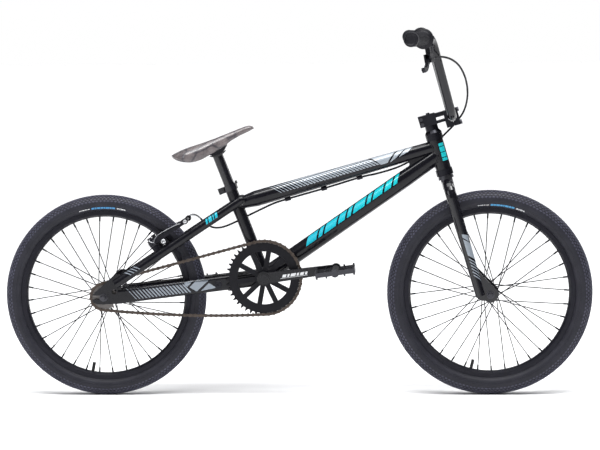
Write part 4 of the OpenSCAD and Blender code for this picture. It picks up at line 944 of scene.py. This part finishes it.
def graphics():
    top_len = (TOP_TO - TOP_FROM).length
    down_len = (DOWN_TO - BB).length
    for s, tag in ((-1, "r"), (1, "l")):
        top = on_tube(TOP_FROM, TOP_DIR, 0.0196, 0.0155, top_len, s)
        hatch = []
        u = 82.0
        k = 0
        while u < 330:
            w = 1.8 + 3.6 * min(1.0, k / 9)
            hatch.append([(u + 30, -8), (u + 30 + w, -8), (u + w, 88), (u, 88)])
            u += 8.3
            k += 1
        print_quads(f"top_hatch_{tag}", hatch, top, "grey", "frame", 2, 12)
        big = [[(362, -16), (378, -16), (408, 88), (338, 88)],
               [(384, -18), (402, 6), (436, 88), (414, 88)],
               [(408, 4), (432, 26), (446, 62), (436, 80)]]
        print_quads(f"top_blocks_{tag}", big, top, "grey", "frame", 8, 12)
        down = on_tube(BB, DOWN_DIR, 0.0205, 0.0205, down_len, s)
        blocks, u = [], 124.0
        for w in (30, 12, 34, 20, 12, 34, 12, 28, 20, 12):
            blocks.append(slanted(u, u + w, 8, 66, 19))
            u += w + 6.0
        print_quads(f"down_blocks_{tag}", blocks, down, "cyan", "frame", 6, 8)
        # fork legs
        corner = HEAD + Y * s * 0.046 - UP * 0.013
        foot = HEAD + Y * s * 0.055 - UP * 0.290
        drop = (foot - corner).normalized()
        p = corner + drop * 0.0319
        leg = on_tube(p, drop, 0.0135, 0.0115, (foot - p).length, s)
        print_quads(f"fork_blocks_{tag}", [[(86, -52), (89, -50), (112, 50), (96, 60)],
                                          [(94, -52), (112, -52), (128, 60), (116, 62)],
                                          [(117, -52), (134, -52), (162, 92), (118, 76)]], leg, "grey",
                    "steering", 6, 12)
        hatch = [[(140 + at, -52), (143.4 + at, -52), (173.4 + at, 92), (170 + at, 92)]
                 for at in (k * 8.2 for k in range(6))]
        print_quads(f"fork_hatch_{tag}", hatch, leg, "grey", "steering", 2, 12)
        # chain stays
        front = BB + Vector((-12, s * 24, -4)) * MM
        rear = Vector((REAR.x + 0.036, s * 0.057, REAR.z + 0.002))
        along = (front - rear).normalized()
        side = (Y * s - along * along.dot(Y * s)).normalized()
        tall = along.cross(side)
        tall = tall if tall.z > 0 else -tall

        def on_stay(u, v):
            if abs(v) > 11:
                t = (abs(v) - 11) / 6.5
                return (rear + along * u * MM + tall * math.copysign(11 + 6.5 * math.sin(t), v) * MM
                        + side * (6.5 * math.cos(t) + 0.15) * MM)
            return rear + along * u * MM + tall * v * MM + side * 6.65 * MM
        lines = []
        for k in range(17):
            w = 2.0 + 2.4 * min(1.0, k / 7)
            u = 24 + k * 8.1
            lines.append([(u + 17, -11), (u + 17 + w, -11), (u + w - 4, 18), (u - 4, 18)])
        print_quads(f"stay_hatch_{tag}", lines, on_stay, "grey", "frame", 2, 10)
        print_quads(f"stay_blocks_{tag}", [[(163, 6), (167, 3), (187, 19), (160, 14)],
                                          [(172, 1), (188, -11), (222, 14), (194, 19)],
                                          [(198, -11), (236, -8), (222, 4), (219, 5)]],
                    on_stay, "grey", "frame", 8, 10)
        # seat stays
        high = BB + Vector((-55.8, s * 20, 185.5)) * MM
        low = BB + Vector((-358.5, s * 66, -13)) * MM
        stay = on_tube(low, high - low, 0.011, 0.011, 1.0, s)
        mark = [slanted(u, u + w, -10, 60, 5) for u, w in ((263, 5), (271, 9), (283, 3), (289, 7))]
        print_quads(f"seatstay_mark_{tag}", mark, stay, "cyan", "frame", 3, 6)
        lines = [[(46 + k * 8.4, -24), (48.8 + k * 8.4, -24), (34.8 + k * 8.4, 88), (32 + k * 8.4, 88)]
                 for k in range(4)]
        print_quads(f"seatstay_hatch_{tag}", lines, stay, "grey", "frame", 2, 8)
        # crank arms
        pedal = JOINT["pedal_right_spin"]["pos_m"]
        a = math.atan2(pedal[2] - BB.z, pedal[0] - BB.x)
        run = Vector((math.cos(a), 0, math.sin(a))) * (1 if s < 0 else -1)
        rise = Vector((-math.sin(a), 0, math.cos(a)))

        def on_arm(u, v, run=run, rise=rise, s=s):
            return BB + run * u * MM + rise * v * MM + Y * s * 64.12 * MM
        print_quads(f"crank_mark_{tag}", [slanted(u, u + w, -3.4, 3.4, 3) for u, w in
                                         ((44, 9), (56, 5), (64, 12), (79, 5), (87, 9), (99, 5))]
                    + [slanted(40, 106, -5.6, -4.8, 0)], on_arm, "white", "crankset", 3, 2)
    quads = [[(u, c - 23), (u + h, c - 23), (u + h, c + 23), (u, c + 23)]
             for c in (36, 144) for u, h in ((44, 7), (53, 11), (66, 12), (80, 7))]

    def head_front(u, v):
        a = math.radians(v - 90)
        return HEAD + UP * u * MM + (FWD * math.cos(a) + Y * math.sin(a)) * 0.0187
    print_quads("head_blocks", quads, head_front, "cyan", "frame", 2, 8)


graphics()


# ---------------------------------------------------------------- stage
def stage():
    me = bpy.data.meshes.new("floor")
    size = 40
    me.from_pydata([(-size, -size, 0), (size, -size, 0), (size, size, 0), (-size, size, 0)], [], [(0, 1, 2, 3)])
    floor = bpy.data.objects.new("floor", me)
    bpy.context.scene.collection.objects.link(floor)
    s = Shader("floor_paper")
    s.set(Base_Color=s.mix(s.noise(3, 4), (0.90, 0.90, 0.905), (0.93, 0.93, 0.935)), Roughness=0.9,
          Specular_IOR_Level=0.1)
    me.materials.append(s.mat)
    # a room that is pale at the horizon and overhead, and dim between
    world = bpy.data.worlds.new("studio")
    bpy.context.scene.world = world
    world.use_nodes = True
    nt = world.node_tree
    coord = nt.nodes.new("ShaderNodeTexCoord")
    split = nt.nodes.new("ShaderNodeSeparateXYZ")
    ramp = nt.nodes.new("ShaderNodeValToRGB")
    nt.links.new(coord.outputs["Generated"], split.inputs[0])
    nt.links.new(split.outputs[2], ramp.inputs[0])
    r = ramp.color_ramp
    r.elements[0].position, r.elements[0].color = 0.0, (1.0, 1.0, 1.0, 1)
    r.elements[1].position, r.elements[1].color = 1.0, (1.6, 1.62, 1.66, 1)
    for at, v in ((0.02, 1.0), (0.05, 0.16), (0.55, 0.10), (0.80, 0.4)):
        e = r.elements.new(at)
        e.color = (v, v, v * 1.02, 1)
    nt.links.new(ramp.outputs[0], nt.nodes["Background"].inputs[0])
    nt.nodes["Background"].inputs[1].default_value = 1.0

    def area(name, at, look, w, h, power, colour=(1, 1, 1)):
        data = bpy.data.lights.new(name, "AREA")
        data.shape = "RECTANGLE"
        data.size, data.size_y = w, h
        data.energy = power
        data.color = colour
        o = bpy.data.objects.new(name, data)
        bpy.context.scene.collection.objects.link(o)
        o.location = at
        o.rotation_mode = "QUATERNION"
        o.rotation_quaternion = (Vector(look) - Vector(at)).to_track_quat("-Z", "Y")

    area("overhead", (0, -0.9, 3.4), (0, 0, 0.3), 4.0, 0.5, 90)
    area("left_front", (-3.4, -3.2, 2.4), (0, 0, 0.4), 1.0, 2.2, 40, (0.95, 0.97, 1))
    area("right_back", (3.2, 2.6, 2.4), (0, 0, 0.5), 1.0, 2.2, 30)
    sun = bpy.data.lights.new("sky_panel", "SUN")
    sun.energy = 2.3
    sun.angle = math.radians(60)
    o = bpy.data.objects.new("sky_panel", sun)
    bpy.context.scene.collection.objects.link(o)
    o.rotation_euler = (math.radians(8), 0, 0)
    bpy.context.scene.view_settings.view_transform = "Standard"


stage()
